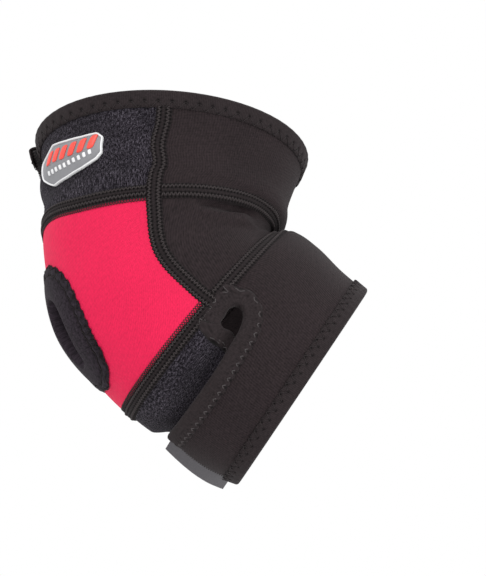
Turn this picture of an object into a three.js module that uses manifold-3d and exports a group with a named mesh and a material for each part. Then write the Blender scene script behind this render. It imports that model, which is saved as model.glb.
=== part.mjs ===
import * as THREE from "three";
import Module from "manifold-3d";

// Elbow sleeve of foamed rubber cloth, standing in the shape it has on a bent arm.
// Millimetres, +Z along the upper arm, +X towards the crook of the elbow, -Y the near side.
// The origin is the middle of the elbow, where the axes of the two arm hollows cross.

const wasm = await Module();
wasm.setup();
const { Manifold } = wasm;

// Driving sizes
const BEND = 60.7;             // degrees the forearm half is turned from straight
const PIVOT_X = 52.6;          // crook line, ahead of the origin
const PIVOT_Z = 32.4;          // crook line, above the origin
const UPPER_LENGTH = 33.7;     // straight part above the bend
const FOREARM_LENGTH = 41.7;   // straight part below the bend
const ELBOW_WIDTH = 103;       // front to back at the start of the bend
const ELBOW_DEPTH = 92;        // side to side at the start of the bend
const WALL = 2.8;              // cloth of every panel
const GAP = 0.3;               // clearance between neighbouring pieces
const TAPE = 0.8;              // binding tape
const RIM_TAPE_WIDTH = 6.5;
const HEM_TAPE_WIDTH = 6;
const SLOT_TAPE_WIDTH = 5.5;
const SEAM_WIDTH = 6.7;
const SEAM_HEIGHT = 0.7;
const HOLE_LENGTH = 34;        // elbow opening, along the sleeve
const HOLE_WIDTH = 19;         // elbow opening, round the sleeve
const HOLE_BAND_WIDTH = 12.5;
const HOLE_BAND_THICKNESS = 1.1;
const TAB_THICKNESS = 1.2;
const TAB_OVERHANG = 14;       // tab beyond the end of the forearm strap, at the strap's inner edge
const TAB_OVERHANG_LOW = 24;   // and towards the hem
const TAB_STIFF = 9;           // degrees before the strap's end from where the tab goes on straight
const PLATE_THICKNESS = 1;
const PLATE_FRAME_WIDTH = 1.5;
const PLATE_FRAME_THICKNESS = 1.6;

// Height between the outer faces of a strap and of the panel that it lies on: the strap and the tape
// below it, each with its clearance, and more at the end, where the tab lies between.
const STRAP_STEP = WALL + TAPE + 2 * GAP;
const STRAP_END_STEP = TAB_THICKNESS + 0.1;

// Stations run along the sleeve: 0 the rim, 1 start of the bend, 2 end of the bend, 3 the hem.
// Angles run round it in degrees: 0 the back, 90 the near side, 180 the front, 270 the far side.
const RIM = 0;
const HEM = 3;
const UPPER_SEAM = 1.15;
const LOWER_SEAM = 1.9;
const SIDE_SEAM = 77;
const HOLE_STATION = 1.53;
const HOLE_ANGLE = -2;

// Sections square to the arm. front: how far the front of the section stands ahead of the crook line, and
// width: front to back, both as shares of ELBOW_WIDTH; depth: side to side, as a share of ELBOW_DEPTH.
const SECTIONS = [
  { station: 0.0, front: 0.074, width: 1.129, depth: 1.112 },
  { station: 0.35, front: 0.035, width: 1.061, depth: 1.064 },
  { station: 0.7, front: 0.006, width: 1.034, depth: 1.023 },
  { station: 0.88, front: 0.004, width: 1.011, depth: 1.01 },
  { station: 0.95, front: -0.004, width: 1.0, depth: 1.005 },
  { station: 1.0, front: -0.024, width: 0.98, depth: 1.001 },
  { station: 1.12, front: -0.046, width: 0.962, depth: 0.989 },
  { station: 1.25, front: -0.063, width: 0.95, depth: 0.978 },
  { station: 1.5, front: -0.086, width: 0.962, depth: 0.957 },
  { station: 1.75, front: -0.064, width: 0.967, depth: 0.965 },
  { station: 1.9, front: -0.046, width: 0.985, depth: 0.972 },
  { station: 2.0, front: -0.024, width: 1.007, depth: 0.976 },
  { station: 2.05, front: -0.006, width: 1.027, depth: 0.978 },
  { station: 2.12, front: 0.001, width: 1.038, depth: 0.98 },
  { station: 2.35, front: -0.002, width: 1.044, depth: 0.983 },
  { station: 2.7, front: -0.03, width: 1.008, depth: 0.95 },
  { station: 3.0, front: -0.043, width: 0.965, depth: 0.911 },
];

// Folds that the bend presses into the cloth of the crook: a smooth ridge (height above 0) or crease,
// height as a share of ELBOW_WIDTH, halfway widths in stations and degrees; lean: stations per degree.
const FOLDS = [
  { station: 1.32, angle: 124, length: 0.07, spread: 19, height: -0.018, lean: 0.0004 },
  { station: 1.32, angle: 236, length: 0.07, spread: 19, height: -0.018, lean: -0.0004 },
  { station: 1.74, angle: 134, length: 0.07, spread: 14, height: -0.008, lean: 0 },
  { station: 1.74, angle: 226, length: 0.07, spread: 14, height: -0.008, lean: 0 },
];

// Each end of the sleeve has a front panel that runs on as a strap over the loop panel, on the side named
// by turn (1 near, -1 far). rise and sink: shares of the strap step that the strap stands out and the
// loop panel lies in. root and tip: angle of the strap's end at its inner edge and at the sleeve's edge.
const LIMBS = {
  upper: { seam: UPPER_SEAM, edge: RIM, turn: -1, rise: 1, sink: 0, root: 42, tip: 26 },
  forearm: { seam: LOWER_SEAM, edge: HEM, turn: 1, rise: 0, sink: 1, root: 1, tip: -16 },
};

// Edge of the strap, of the slot at its root and of the loop panel below it, as one line. reach: share of
// the way from the elbow seam to the sleeve's edge; angle: degrees from the back, towards the strap.
// The first row's angle is taken from the limb, and the second's is midway to the third's. The rows
// before SLOT_TOP lie on the strap.
const STRAP_LINE = [
  { reach: 0.285, angle: 1 },
  { reach: 0.312, angle: 24.5 },
  { reach: 0.329, angle: 48 },
  { reach: 0.318, angle: 63 },
  { reach: 0.308, angle: 72.3 },
  { reach: 0.278, angle: 77.7 },
  { reach: 0.236, angle: 80.9 },
  { reach: 0.179, angle: 82.3 },
  { reach: 0.111, angle: 81.8 },
  { reach: 0.08, angle: 79.3 },
  { reach: 0.082, angle: 74.2 },
  { reach: 0.09, angle: 69.8 },
  { reach: 0.147, angle: 67.5 },
  { reach: 0.222, angle: 68.6 },
  { reach: 0.29, angle: 67.5 },
  { reach: 0.6, angle: 66.5 },
  { reach: 1, angle: 65 },
];
const SLOT_FIRST = 4;
const SLOT_TOP = 9;
const SLOT_LAST = 14;
const TAPE_LAST = 15;

// Outline of the plate on the upper loop panel, by angle: stations of its upper and lower edges.
const PLATE = [
  { angle: 8, top: 0.55, bottom: 0.77 },
  { angle: 13, top: 0.465, bottom: 0.875 },
  { angle: 17.5, top: 0.375, bottom: 0.945 },
  { angle: 29, top: 0.43, bottom: 0.925 },
  { angle: 39, top: 0.456, bottom: 0.875 },
  { angle: 47.5, top: 0.457, bottom: 0.805 },
  { angle: 51.3, top: 0.53, bottom: 0.735 },
];

const COLOURS = {
  smooth: 0x2f2a2a, loop: 0x33303a, elbow: 0xee365f, tape: 0x2b2627, seam: 0x272324,
  tab: 0x57565a, plate: 0x8c8c91, frame: 0xe6e6e6,
};

const rad = (d) => (d * Math.PI) / 180;
const clamp = (x, lo, hi) => Math.min(hi, Math.max(lo, x));
const smooth = (x) => { const t = clamp(x, 0, 1); return t * t * (3 - 2 * t); };
const mix = (a, b, t) => a + (b - a) * t;
const spaced = (a, b, n) => Array.from({ length: n + 1 }, (_, i) => mix(a, b, i / n));
const add = (p, q, k = 1) => [p[0] + k * q[0], p[1] + k * q[1], p[2] + k * q[2]];
const minus = (p, q) => add(p, q, -1);
const dot = (p, q) => p[0] * q[0] + p[1] * q[1] + p[2] * q[2];
const cross = (p, q) => [p[1] * q[2] - p[2] * q[1], p[2] * q[0] - p[0] * q[2], p[0] * q[1] - p[1] * q[0]];
const size = (p) => Math.hypot(...p);
const unit = (p) => { const l = size(p); return p.map((c) => c / l); };

// Smooth curve through a column of rows, with slopes weighted by the neighbouring spans.
function along(rows, key, column, x) {
  const n = rows.length;
  const span = (i) => rows[i + 1][key] - rows[i][key];
  const rate = (i) => (rows[i + 1][column] - rows[i][column]) / span(i);
  const slope = (i) => {
    if (i === 0) return rate(0);
    if (i === n - 1) return rate(n - 2);
    return (rate(i) * span(i - 1) + rate(i - 1) * span(i)) / (span(i - 1) + span(i));
  };
  if (x <= rows[0][key]) return rows[0][column] + (x - rows[0][key]) * slope(0);
  if (x >= rows[n - 1][key]) return rows[n - 1][column] + (x - rows[n - 1][key]) * slope(n - 1);
  let i = 0;
  while (x > rows[i + 1][key]) i++;
  const h = span(i);
  const t = (x - rows[i][key]) / h;
  const [t2, t3] = [t * t, t * t * t];
  return (2 * t3 - 3 * t2 + 1) * rows[i][column] + (t3 - 2 * t2 + t) * h * slope(i)
    + (3 * t2 - 2 * t3) * rows[i + 1][column] + (t3 - t2) * h * slope(i + 1);
}

// Outer face of the sleeve before its folds: an ellipse in each section, the sections turned about the
// crook line through the bend and set along the arm above and below it.
function plainSkin(station, angle) {
  const turn = rad(BEND * clamp(station - 1, 0, 1));
  const above = UPPER_LENGTH * Math.max(1 - station, 0);
  const below = FOREARM_LENGTH * Math.max(station - 2, 0);
  const front = ELBOW_WIDTH * along(SECTIONS, "station", "front", station);
  const width = ELBOW_WIDTH * along(SECTIONS, "station", "width", station);
  const depth = ELBOW_DEPTH * along(SECTIONS, "station", "depth", station);
  const back = [-Math.cos(turn), 0, -Math.sin(turn)];
  const down = [Math.sin(rad(BEND)), 0, -Math.cos(rad(BEND))];
  const crook = [PIVOT_X + below * down[0], 0, PIVOT_Z + above + below * down[2]];
  const reach = -front + (width / 2) * (1 + Math.cos(rad(angle)));
  return add(add(crook, back, reach), [0, 1, 0], (-depth / 2) * Math.sin(rad(angle)));
}

function slopes(face, station, angle) {
  const [ds, da] = [0.002, 0.1];
  return [
    minus(face(station + ds, angle), face(station - ds, angle)).map((c) => c / (2 * ds)),
    minus(face(station, angle + da), face(station, angle - da)).map((c) => c / (2 * da)),
  ];
}

const outward = (face, station, angle) => unit(cross(...slopes(face, station, angle)));

function skin(station, angle) {
  const a = ((angle % 360) + 360) % 360;
  let height = 0;
  for (const f of FOLDS) {
    const [x, y] = [(station - f.station - f.lean * (a - f.angle)) / f.length, (a - f.angle) / f.spread];
    height += f.height * ELBOW_WIDTH * Math.exp(-x * x - y * y);
  }
  return add(plainSkin(station, angle), outward(plainSkin, station, angle), height);
}

// Point at a height above the outer face.
const raised = (station, angle, height) => (
  add(skin(station, angle), outward(skin, station, angle), height));

// Point of a panel, moved off its seams by half a gap: shifts 1, 0 or -1 along the station and the angle.
function panelPoint(station, angle, height, shiftStation, shiftAngle) {
  const [ds, da] = slopes(skin, station, angle).map(unit);
  const p = raised(station, angle, height);
  return add(add(p, ds, (shiftStation * GAP) / 2), da, (shiftAngle * GAP) / 2);
}

// Stations and degrees that make up a length in millimetres at a place.
const stationsFor = (mm, station, angle) => mm / size(slopes(skin, station, angle)[0]);
const degreesFor = (mm, station, angle) => mm / size(slopes(skin, station, angle)[1]);

// Station reached by walking a length in millimetres down the sleeve.
function walk(mm, station, angle) {
  let s = station;
  for (let i = 0; i < 12; i++) s += stationsFor(mm / 12, s, angle);
  return s;
}

// Places on a limb, by reach from the elbow seam and angle towards the strap.
const stationOf = (limb, reach) => mix(limb.seam, limb.edge, reach);
const endAngle = (limb, reach) => mix(limb.root, limb.tip, clamp((reach - 0.27) / 0.73, 0, 1));

// Step between strap and loop panel: it starts at the slot and runs out round the sleeve on both sides.
function step(reach, angle) {
  const start = smooth((reach - 0.1) / 0.17);
  const tab = STRAP_END_STEP * smooth((34 - angle) / 24);
  return start * (STRAP_STEP + tab);
}
const strapHeight = (limb, reach, angle) => limb.rise * step(reach, angle) * smooth((112 - angle) / 40);
const loopHeight = (limb, reach, angle) => -limb.sink * step(reach, angle) * smooth((angle + 70) / 50);

const strapPoint = (limb, reach, angle, height) => (
  raised(stationOf(limb, reach), limb.turn * angle, height + strapHeight(limb, reach, angle)));
const loopPoint = (limb, reach, angle, height) => (
  raised(stationOf(limb, reach), limb.turn * angle, height + loopHeight(limb, reach, angle)));

// Closed body from vertices and triangles, turned so that its faces look outwards.
function body(points, faces) {
  let volume = 0;
  for (const [a, b, c] of faces) volume += dot(points[a], cross(points[b], points[c]));
  const index = volume > 0 ? faces.flat() : faces.flatMap(([a, b, c]) => [a, c, b]);
  return { points: points.flat(), index };
}

// Sheet between two faces. place(i, j, side) gives the points of a grid of rows by columns, side 1 for the
// outer face and 0 for the inner one; wrap joins the last column to the first.
function sheet(rows, columns, place, wrap = false) {
  const points = [];
  const at = (i, j, side) => ((i * columns + (wrap ? j % columns : j)) * 2 + side);
  for (let i = 0; i < rows; i++) {
    for (let j = 0; j < columns; j++) for (const side of [0, 1]) points.push(place(i, j, side));
  }
  const faces = [];
  const quad = (a, b, c, d) => faces.push([a, b, c], [a, c, d]);
  const last = wrap ? columns : columns - 1;
  for (let i = 0; i + 1 < rows; i++) {
    for (let j = 0; j < last; j++) {
      quad(at(i, j, 1), at(i + 1, j, 1), at(i + 1, j + 1, 1), at(i, j + 1, 1));
      quad(at(i, j, 0), at(i, j + 1, 0), at(i + 1, j + 1, 0), at(i + 1, j, 0));
    }
  }
  for (let j = 0; j < last; j++) {
    quad(at(0, j, 0), at(0, j, 1), at(0, j + 1, 1), at(0, j + 1, 0));
    quad(at(rows - 1, j, 0), at(rows - 1, j + 1, 0), at(rows - 1, j + 1, 1), at(rows - 1, j, 1));
  }
  if (!wrap) {
    for (let i = 0; i + 1 < rows; i++) {
      quad(at(i, 0, 0), at(i + 1, 0, 0), at(i + 1, 0, 1), at(i, 0, 1));
      quad(at(i, last, 0), at(i, last, 1), at(i + 1, last, 1), at(i + 1, last, 0));
    }
  }
  return body(points, faces);
}

// Solid swept along a line. rings: a closed ring of points at each place; profile: the same ring flat,
// used to close the two ends.
function sweep(rings, profile, closed = false) {
  const m = profile.length;
  const n = rings.length;
  const faces = [];
  const last = closed ? n : n - 1;
  for (let i = 0; i < last; i++) {
    for (let k = 0; k < m; k++) {
      const [a, b] = [i * m + k, i * m + ((k + 1) % m)];
      const [c, d] = [((i + 1) % n) * m + ((k + 1) % m), ((i + 1) % n) * m + k];
      faces.push([a, b, c], [a, c, d]);
    }
  }
  if (!closed) {
    const flat = profile.map(([x, y]) => new THREE.Vector2(x, y));
    const same = (a, b, c) => (
      THREE.ShapeUtils.area([flat[a], flat[b], flat[c]]) * THREE.ShapeUtils.area(flat) > 0);
    for (const t of THREE.ShapeUtils.triangulateShape(flat, [])) {
      const [a, b, c] = same(...t) ? t : [t[0], t[2], t[1]];
      faces.push([c, b, a], [(n - 1) * m + a, (n - 1) * m + b, (n - 1) * m + c]);
    }
  }
  return body(rings.flat(), faces);
}

// Tape folded over a cloth edge: across the edge (0 at the edge, into the cloth above 0) and height.
function tapeProfile(width, thickness = TAPE, innerWidth = width) {
  const [out, over, under] = [-GAP - thickness, GAP + thickness, -WALL - GAP - thickness];
  return [
    [out, under], [out, over], [width / 2, over], [width, over], [width, GAP], [(2 * width) / 3, GAP],
    [width / 3, GAP], [-GAP, GAP], [-GAP, -WALL - GAP], [innerWidth, -WALL - GAP], [innerWidth, under],
  ];
}

// Tape on the outer face only, turned down over the cloth edge.
function flapProfile(width) {
  const [out, over] = [-GAP - TAPE, GAP + TAPE];
  return [
    [out, -WALL], [out, over], [width / 2, over], [width, over],
    [width, GAP], [(2 * width) / 3, GAP], [width / 3, GAP], [-GAP, GAP], [-GAP, -WALL],
  ];
}

// Sweeps a profile along a line on the sleeve. line: places { station, angle, heightAt }, the last a
// function that gives the height of the cloth above the outer face. Seen on the flat sleeve, with the
// angle to the right and the station downwards, the profile's across axis points to the line's right.
function edging(line, profile, closed = false) {
  const n = line.length;
  const rings = line.map((p, i) => {
    const before = line[closed ? (i + n - 1) % n : Math.max(i - 1, 0)];
    const after = line[closed ? (i + 1) % n : Math.min(i + 1, n - 1)];
    const [ds, da] = slopes(skin, p.station, p.angle);
    const run = unit(add(ds.map((c) => c * (after.station - before.station)), da, after.angle - before.angle));
    const up = outward(skin, p.station, p.angle);
    const over = unit(cross(run, up));
    const [ss, sa, aa] = [dot(ds, ds), dot(ds, da), dot(da, da)];
    const [so, ao] = [dot(ds, over), dot(da, over)];
    const det = ss * aa - sa * sa;
    const perStation = (so * aa - ao * sa) / det;
    const perAngle = (ao * ss - so * sa) / det;
    return profile.map(([across, height]) => {
      const b = Math.max(across, 0);
      const lift = p.heightAt ? p.heightAt(p.station + perStation * b, p.angle + perAngle * b) : 0;
      const q = raised(p.station + perStation * b, p.angle + perAngle * b, height + lift);
      return across < 0 ? add(q, over, across) : q;
    });
  });
  return sweep(rings, profile, closed);
}

// Smooth points along the strap line between two of its rows, n to a row.
function strapLine(limb, from, to, n = 3) {
  const end = endAngle(limb, STRAP_LINE[0].reach);
  const angles = [end, mix(end, STRAP_LINE[2].angle, 0.5)];
  const rows = STRAP_LINE.map((r, i) => ({ at: i, reach: r.reach, angle: angles[i] ?? r.angle }));
  return spaced(from, to, Math.round((to - from) * n)).map((t) => ({
    at: t, reach: along(rows, "at", "reach", t), angle: along(rows, "at", "angle", t),
  }));
}

// Flatlock seam: a low band centred on a line of constant station or angle. Where the crook presses the
// seams together, the band is no wider than a share of the cloth between them.
function seam(line) {
  const h = SEAM_HEIGHT;
  const profile = [
    [-1, GAP + 0.3 * h], [-0.6, GAP + h], [0.6, GAP + h], [1, GAP + 0.3 * h],
    [1, GAP], [0.5, GAP], [0, GAP], [-0.5, GAP], [-1, GAP],
  ];
  const halfWidth = (angle) => {
    const cloth = (LOWER_SEAM - UPPER_SEAM) * size(slopes(skin, (UPPER_SEAM + LOWER_SEAM) / 2, angle)[0]);
    return Math.min(SEAM_WIDTH / 2, 0.27 * cloth);
  };
  const n = line.length;
  const rings = line.map((p, i) => {
    const [before, after] = [line[Math.max(i - 1, 0)], line[Math.min(i + 1, n - 1)]];
    const goesRound = Math.abs(after.angle - before.angle) > Math.abs(after.station - before.station) * 30;
    return profile.map(([share, height]) => {
      const across = share * halfWidth(p.angle);
      return goesRound
        ? raised(walk(across, p.station, p.angle), p.angle, height)
        : raised(p.station, p.angle + degreesFor(across, p.station, p.angle), height);
    });
  });
  return sweep(rings, profile);
}

const toManifold = (b) => {
  const mesh = new wasm.Mesh({
    numProp: 3, vertProperties: Float32Array.from(b.points), triVerts: Uint32Array.from(b.index),
  });
  mesh.merge();
  return new Manifold(mesh);
};

function cut(from, ...tools) {
  let whole = toManifold(from);
  for (const tool of tools) whole = whole.subtract(toManifold(tool));
  const mesh = whole.getMesh();
  return { points: Array.from(mesh.vertProperties), index: Array.from(mesh.triVerts) };
}

const part = new THREE.Group();
part.name = "elbow_brace";

function piece(name, solid, colour, roughness) {
  const geometry = new THREE.BufferGeometry();
  geometry.setAttribute("position", new THREE.Float32BufferAttribute(solid.points, 3));
  geometry.setIndex(solid.index);
  geometry.computeVertexNormals();
  const mesh = new THREE.Mesh(geometry, new THREE.MeshStandardMaterial({
    color: colour, roughness, metalness: 0,
  }));
  mesh.name = name;
  part.add(mesh);
}

// Panel over a rectangle of stations and angles, half a gap inside its seams.
function plainPanel(stations, angles) {
  const [n, m] = [stations.length - 1, angles.length - 1];
  const shift = (k, last) => (k === 0 ? 1 : k === last ? -1 : 0);
  return sheet(n + 1, m + 1, (i, j, side) => (
    panelPoint(stations[i], angles[j], side ? 0 : -WALL, shift(i, n), shift(j, m))));
}

// Front panel of a limb, running on as a strap, and loop panel below the strap.
function limbPanels(limb) {
  const reaches = [0, 0.1, 0.145, 0.185, 0.225, 0.27, 0.5, 0.7, 0.86, 1];
  const g = GAP / 2;
  const far = 360 - SIDE_SEAM;
  const turns = 28;
  const away = Math.sign(limb.edge - limb.seam);
  const front = sheet(reaches.length, turns + 1, (i, j, side) => {
    const angle = mix(endAngle(limb, reaches[i]), far, j / turns);
    const height = strapHeight(limb, reaches[i], angle) - (side ? 0 : WALL);
    return panelPoint(stationOf(limb, reaches[i]), limb.turn * angle, height,
      i === 0 ? away : 0, j === turns ? -limb.turn : 0);
  });
  const ribs = 16;
  const back = sheet(reaches.length, ribs + 1, (i, j, side) => {
    const angle = mix(-SIDE_SEAM, SIDE_SEAM, j / ribs);
    const height = loopHeight(limb, reaches[i], angle) - (side ? 0 : WALL);
    return panelPoint(stationOf(limb, reaches[i]), limb.turn * angle, height,
      i === 0 ? away : 0, j === 0 ? limb.turn : j === ribs ? -limb.turn : 0);
  });

  // Tools that cut the slot and what lies beyond the line out of the two panels
  const [low, high] = [-3 * WALL - STRAP_STEP, 2 * WALL + STRAP_STEP];
  const strip = (points, r0, r1) => sheet(2, points.length, (i, j, side) => {
    const { reach, angle } = i ? r1(points[j]) : r0(points[j]);
    return raised(stationOf(limb, reach), limb.turn * angle, side ? high : low);
  });
  const outline = strapLine(limb, SLOT_FIRST, SLOT_LAST);
  const slot = sweep([low, high].map((height) => (
    outline.map((p) => raised(stationOf(limb, p.reach), limb.turn * p.angle, height)))),
  outline.map((p) => [p.angle, 66 * p.reach]));
  const strapSide = [{ reach: 0.27, angle: -40 }, ...strapLine(limb, 0, SLOT_FIRST)];
  const belowStrap = strip(strapSide, (p) => ({ reach: -0.08, angle: p.angle }), (p) => p);
  const aboveSlot = strip(spaced(60, SIDE_SEAM + degreesFor(g, limb.seam, SIDE_SEAM), 4),
    (angle) => ({ reach: -0.08, angle }), (angle) => ({ reach: 0.16, angle }));
  const loopSide = strapLine(limb, SLOT_LAST - 1, STRAP_LINE.length - 1);
  loopSide.push({ reach: 1.1, angle: loopSide.at(-1).angle });
  const beyondLoop = strip(loopSide, (p) => p, (p) => ({ reach: p.reach, angle: 100 }));
  return {
    front: cut(front, slot, belowStrap, aboveSlot),
    loop: cut(back, slot, beyondLoop),
  };
}

// Tape along the strap's edge, round the slot and down the loop panel's edge.
function slotTape(limb) {
  const line = strapLine(limb, 0, TAPE_LAST).map(({ at, reach, angle }) => {
    const height = at < SLOT_TOP ? strapHeight : loopHeight;
    const toReach = (station) => (station - limb.seam) / (limb.edge - limb.seam);
    return {
      station: stationOf(limb, reach), angle: limb.turn * angle,
      heightAt: (s, a) => height(limb, toReach(s), limb.turn * a),
    };
  });
  return edging(line, flapProfile(SLOT_TAPE_WIDTH));
}

// Tape along the sleeve's edge: from beside the strap's end round the back, over the front and on along
// the strap to its end.
function edgeTape(limb, width) {
  const start = limb.tip - degreesFor(2, limb.edge, limb.turn * limb.tip);
  const line = spaced(start, limb.tip - 360, 40).map((angle) => {
    const strap = angle < -SIDE_SEAM;
    const height = strap ? strapHeight : loopHeight;
    return {
      station: limb.edge, angle: limb.turn * angle,
      heightAt: (s, a) => height(limb, (s - limb.seam) / (limb.edge - limb.seam),
        limb.turn * a + (strap ? 360 : 0)),
    };
  });
  return edging(line, tapeProfile(width));
}

const ROUND = 28;
const upper = limbPanels(LIMBS.upper);
const forearm = limbPanels(LIMBS.forearm);
const crookStations = [UPPER_SEAM, 1.2, 1.26, 1.32, 1.38, 1.48, 1.6, 1.74, LOWER_SEAM];

// Elbow panel: rays from its seams to the oval opening.
const holeRound = spaced(0, 360, ROUND).slice(0, ROUND);
const holePlace = (theta, grow = 0) => ({
  station: HOLE_STATION + stationsFor(HOLE_LENGTH / 2 + grow, HOLE_STATION, HOLE_ANGLE) * Math.cos(rad(theta)),
  angle: HOLE_ANGLE + degreesFor(HOLE_WIDTH / 2 + grow, HOLE_STATION, HOLE_ANGLE) * Math.sin(rad(theta)),
});
function elbowPanel() {
  const [s0, s1, a1] = [UPPER_SEAM, LOWER_SEAM, SIDE_SEAM];
  const [across, down] = [16, 7];
  const border = [
    ...spaced(-a1, a1, across).slice(0, -1).map((a) => [s0, a]),
    ...spaced(s0, s1, down).slice(0, -1).map((s) => [s, a1]),
    ...spaced(a1, -a1, across).slice(0, -1).map((a) => [s1, a]),
    ...spaced(s1, s0, down).slice(0, -1).map((s) => [s, -a1]),
  ];
  const rings = [0, 0.13, 0.3, 0.5, 0.74, 1];
  return sheet(rings.length, border.length, (i, j, side) => {
    const [s, a] = border[j];
    const theta = Math.atan2((a - HOLE_ANGLE) / 150, (s - HOLE_STATION) / 0.75) * 180 / Math.PI;
    const hole = holePlace(theta);
    const [station, angle] = [mix(hole.station, s, rings[i]), mix(hole.angle, a, rings[i])];
    const shift = (value, low, high) => (i < rings.length - 1 ? 0 : value === low ? 1 : value === high ? -1 : 0);
    return panelPoint(station, angle, side ? 0 : -WALL, shift(s, s0, s1), shift(a, -a1, a1));
  }, true);
}

const seamClear = (s, a) => degreesFor(SEAM_WIDTH / 2 + GAP, s, a);
const rimClear = stationsFor(RIM_TAPE_WIDTH + 2 * GAP, RIM, SIDE_SEAM);
const hemClear = stationsFor(HEM_TAPE_WIDTH + 2 * GAP, HEM, SIDE_SEAM);
const slotClear = 14;
const CROOK_TIGHT = 160;
const roundSeam = (station, from, to, n) => seam(spaced(from, to, n).map((angle) => ({ station, angle })));
const sideSeam = (angle, from, to, n) => seam(spaced(from, to, n).map((station) => ({ station, angle })));
const [up0, lo0] = [seamClear(UPPER_SEAM, SIDE_SEAM), seamClear(LOWER_SEAM, SIDE_SEAM)];

piece("upper_front_panel", upper.front, COLOURS.smooth, 0.75);
piece("upper_loop_panel", upper.loop, COLOURS.loop, 0.95);
piece("elbow_panel", elbowPanel(), COLOURS.elbow, 0.8);
piece("crook_panel", plainPanel(crookStations, spaced(SIDE_SEAM, 360 - SIDE_SEAM, 24)), COLOURS.smooth, 0.75);
piece("forearm_front_panel", forearm.front, COLOURS.smooth, 0.75);
piece("forearm_loop_panel", forearm.loop, COLOURS.loop, 0.95);
piece("rim_tape", edgeTape(LIMBS.upper, RIM_TAPE_WIDTH), COLOURS.tape, 0.85);
piece("hem_tape", edgeTape(LIMBS.forearm, HEM_TAPE_WIDTH), COLOURS.tape, 0.85);
piece("upper_slot_tape", slotTape(LIMBS.upper), COLOURS.tape, 0.85);
piece("forearm_slot_tape", slotTape(LIMBS.forearm), COLOURS.tape, 0.85);

const holeLine = holeRound.map((theta) => holePlace(theta));
piece("elbow_hole_band", edging(holeLine, tapeProfile(HOLE_BAND_WIDTH, HOLE_BAND_THICKNESS, 5), true),
  COLOURS.tape, 0.9);

piece("near_side_seam", sideSeam(SIDE_SEAM, rimClear, LOWER_SEAM - 0.03, 14), COLOURS.seam, 0.9);
piece("far_side_seam", sideSeam(-SIDE_SEAM, UPPER_SEAM + 0.03, HEM - hemClear, 14), COLOURS.seam, 0.9);
piece("upper_crook_seam", roundSeam(UPPER_SEAM, SIDE_SEAM + up0, 360 - SIDE_SEAM - slotClear, 16),
  COLOURS.seam, 0.9);
piece("upper_elbow_seam", roundSeam(UPPER_SEAM, -SIDE_SEAM + slotClear + 2, SIDE_SEAM - up0, 16),
  COLOURS.seam, 0.9);
piece("near_lower_crook_seam", roundSeam(LOWER_SEAM, SIDE_SEAM + slotClear, CROOK_TIGHT, 10), COLOURS.seam, 0.9);
piece("far_lower_crook_seam", roundSeam(LOWER_SEAM, 360 - CROOK_TIGHT, 360 - SIDE_SEAM - lo0, 10),
  COLOURS.seam, 0.9);
piece("lower_elbow_seam", roundSeam(LOWER_SEAM, -SIDE_SEAM + lo0, SIDE_SEAM - slotClear - 2, 16),
  COLOURS.seam, 0.9);

// Hook tab: under the end of the forearm strap, and straight on beyond it.
function hookTab(limb) {
  const reaches = [0.29, 0.42, 0.57, 0.72, 0.86];
  const beyond = degreesFor(1, limb.edge, 0);
  return sheet(reaches.length, 7, (i, j, side) => {
    const reach = reaches[i];
    const flatFrom = endAngle(limb, reach) + TAB_STIFF;
    const height = GAP + 0.1 + (side ? TAB_THICKNESS : 0);
    const from = loopPoint(limb, reach, flatFrom, height);
    if (j < 4) return loopPoint(limb, reach, mix(14, flatFrom, j / 4), height);
    const ahead = unit(minus(loopPoint(limb, reach, flatFrom - 1, height), from));
    const share = (reach - reaches[0]) / (reaches.at(-1) - reaches[0]);
    const length = TAB_STIFF / beyond + mix(TAB_OVERHANG, TAB_OVERHANG_LOW, share);
    return add(from, ahead, (length * (j - 4)) / 2);
  });
}
piece("hook_tab", hookTab(LIMBS.forearm), COLOURS.tab, 0.9);

// Plate on the upper loop panel, and the raised frame round it
const plateRow = (angle) => ({ top: along(PLATE, "angle", "top", angle), bottom: along(PLATE, "angle", "bottom", angle) });
function platePanel() {
  const inset = PLATE_FRAME_WIDTH + GAP;
  const [a0, a1] = [PLATE[0].angle, PLATE.at(-1).angle];
  const angles = spaced(a0 + degreesFor(1.2 * inset, 0.5, a0), a1 - degreesFor(inset, 0.5, a1), 12);
  return sheet(4, angles.length, (i, j, side) => {
    const { top, bottom } = plateRow(angles[j]);
    const margin = stationsFor(inset, 0.5, angles[j]) * 1.7;
    return raised(mix(top + margin, bottom - margin, i / 3), angles[j], GAP + (side ? PLATE_THICKNESS : 0));
  });
}
function plateFrame() {
  const [w, h] = [PLATE_FRAME_WIDTH, PLATE_FRAME_THICKNESS];
  const profile = [[0, GAP], [0, GAP + 0.6 * h], [0.25 * w, GAP + h], [0.75 * w, GAP + h], [w, GAP + 0.6 * h], [w, GAP]];
  const tops = PLATE.map(({ angle, top }) => ({ station: top, angle }));
  const bottoms = PLATE.map(({ angle, bottom }) => ({ station: bottom, angle })).reverse();
  const corners = [...tops, ...bottoms];
  const line = corners.flatMap((p, i) => {
    const q = corners[(i + 1) % corners.length];
    return [p, { station: mix(p.station, q.station, 0.5), angle: mix(p.angle, q.angle, 0.5) }];
  });
  return edging(line, profile, true);
}
piece("badge_plate", platePanel(), COLOURS.plate, 0.5);
piece("badge_frame", plateFrame(), COLOURS.frame, 0.5);

export default part;
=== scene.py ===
"""Elbow sleeve of foamed rubber cloth, dressed round its CAD frame. Metres, +Z along the upper arm,
+X towards the crook of the elbow, -Y the near side."""

import math

import bpy
import numpy as np
from mathutils import Matrix


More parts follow.
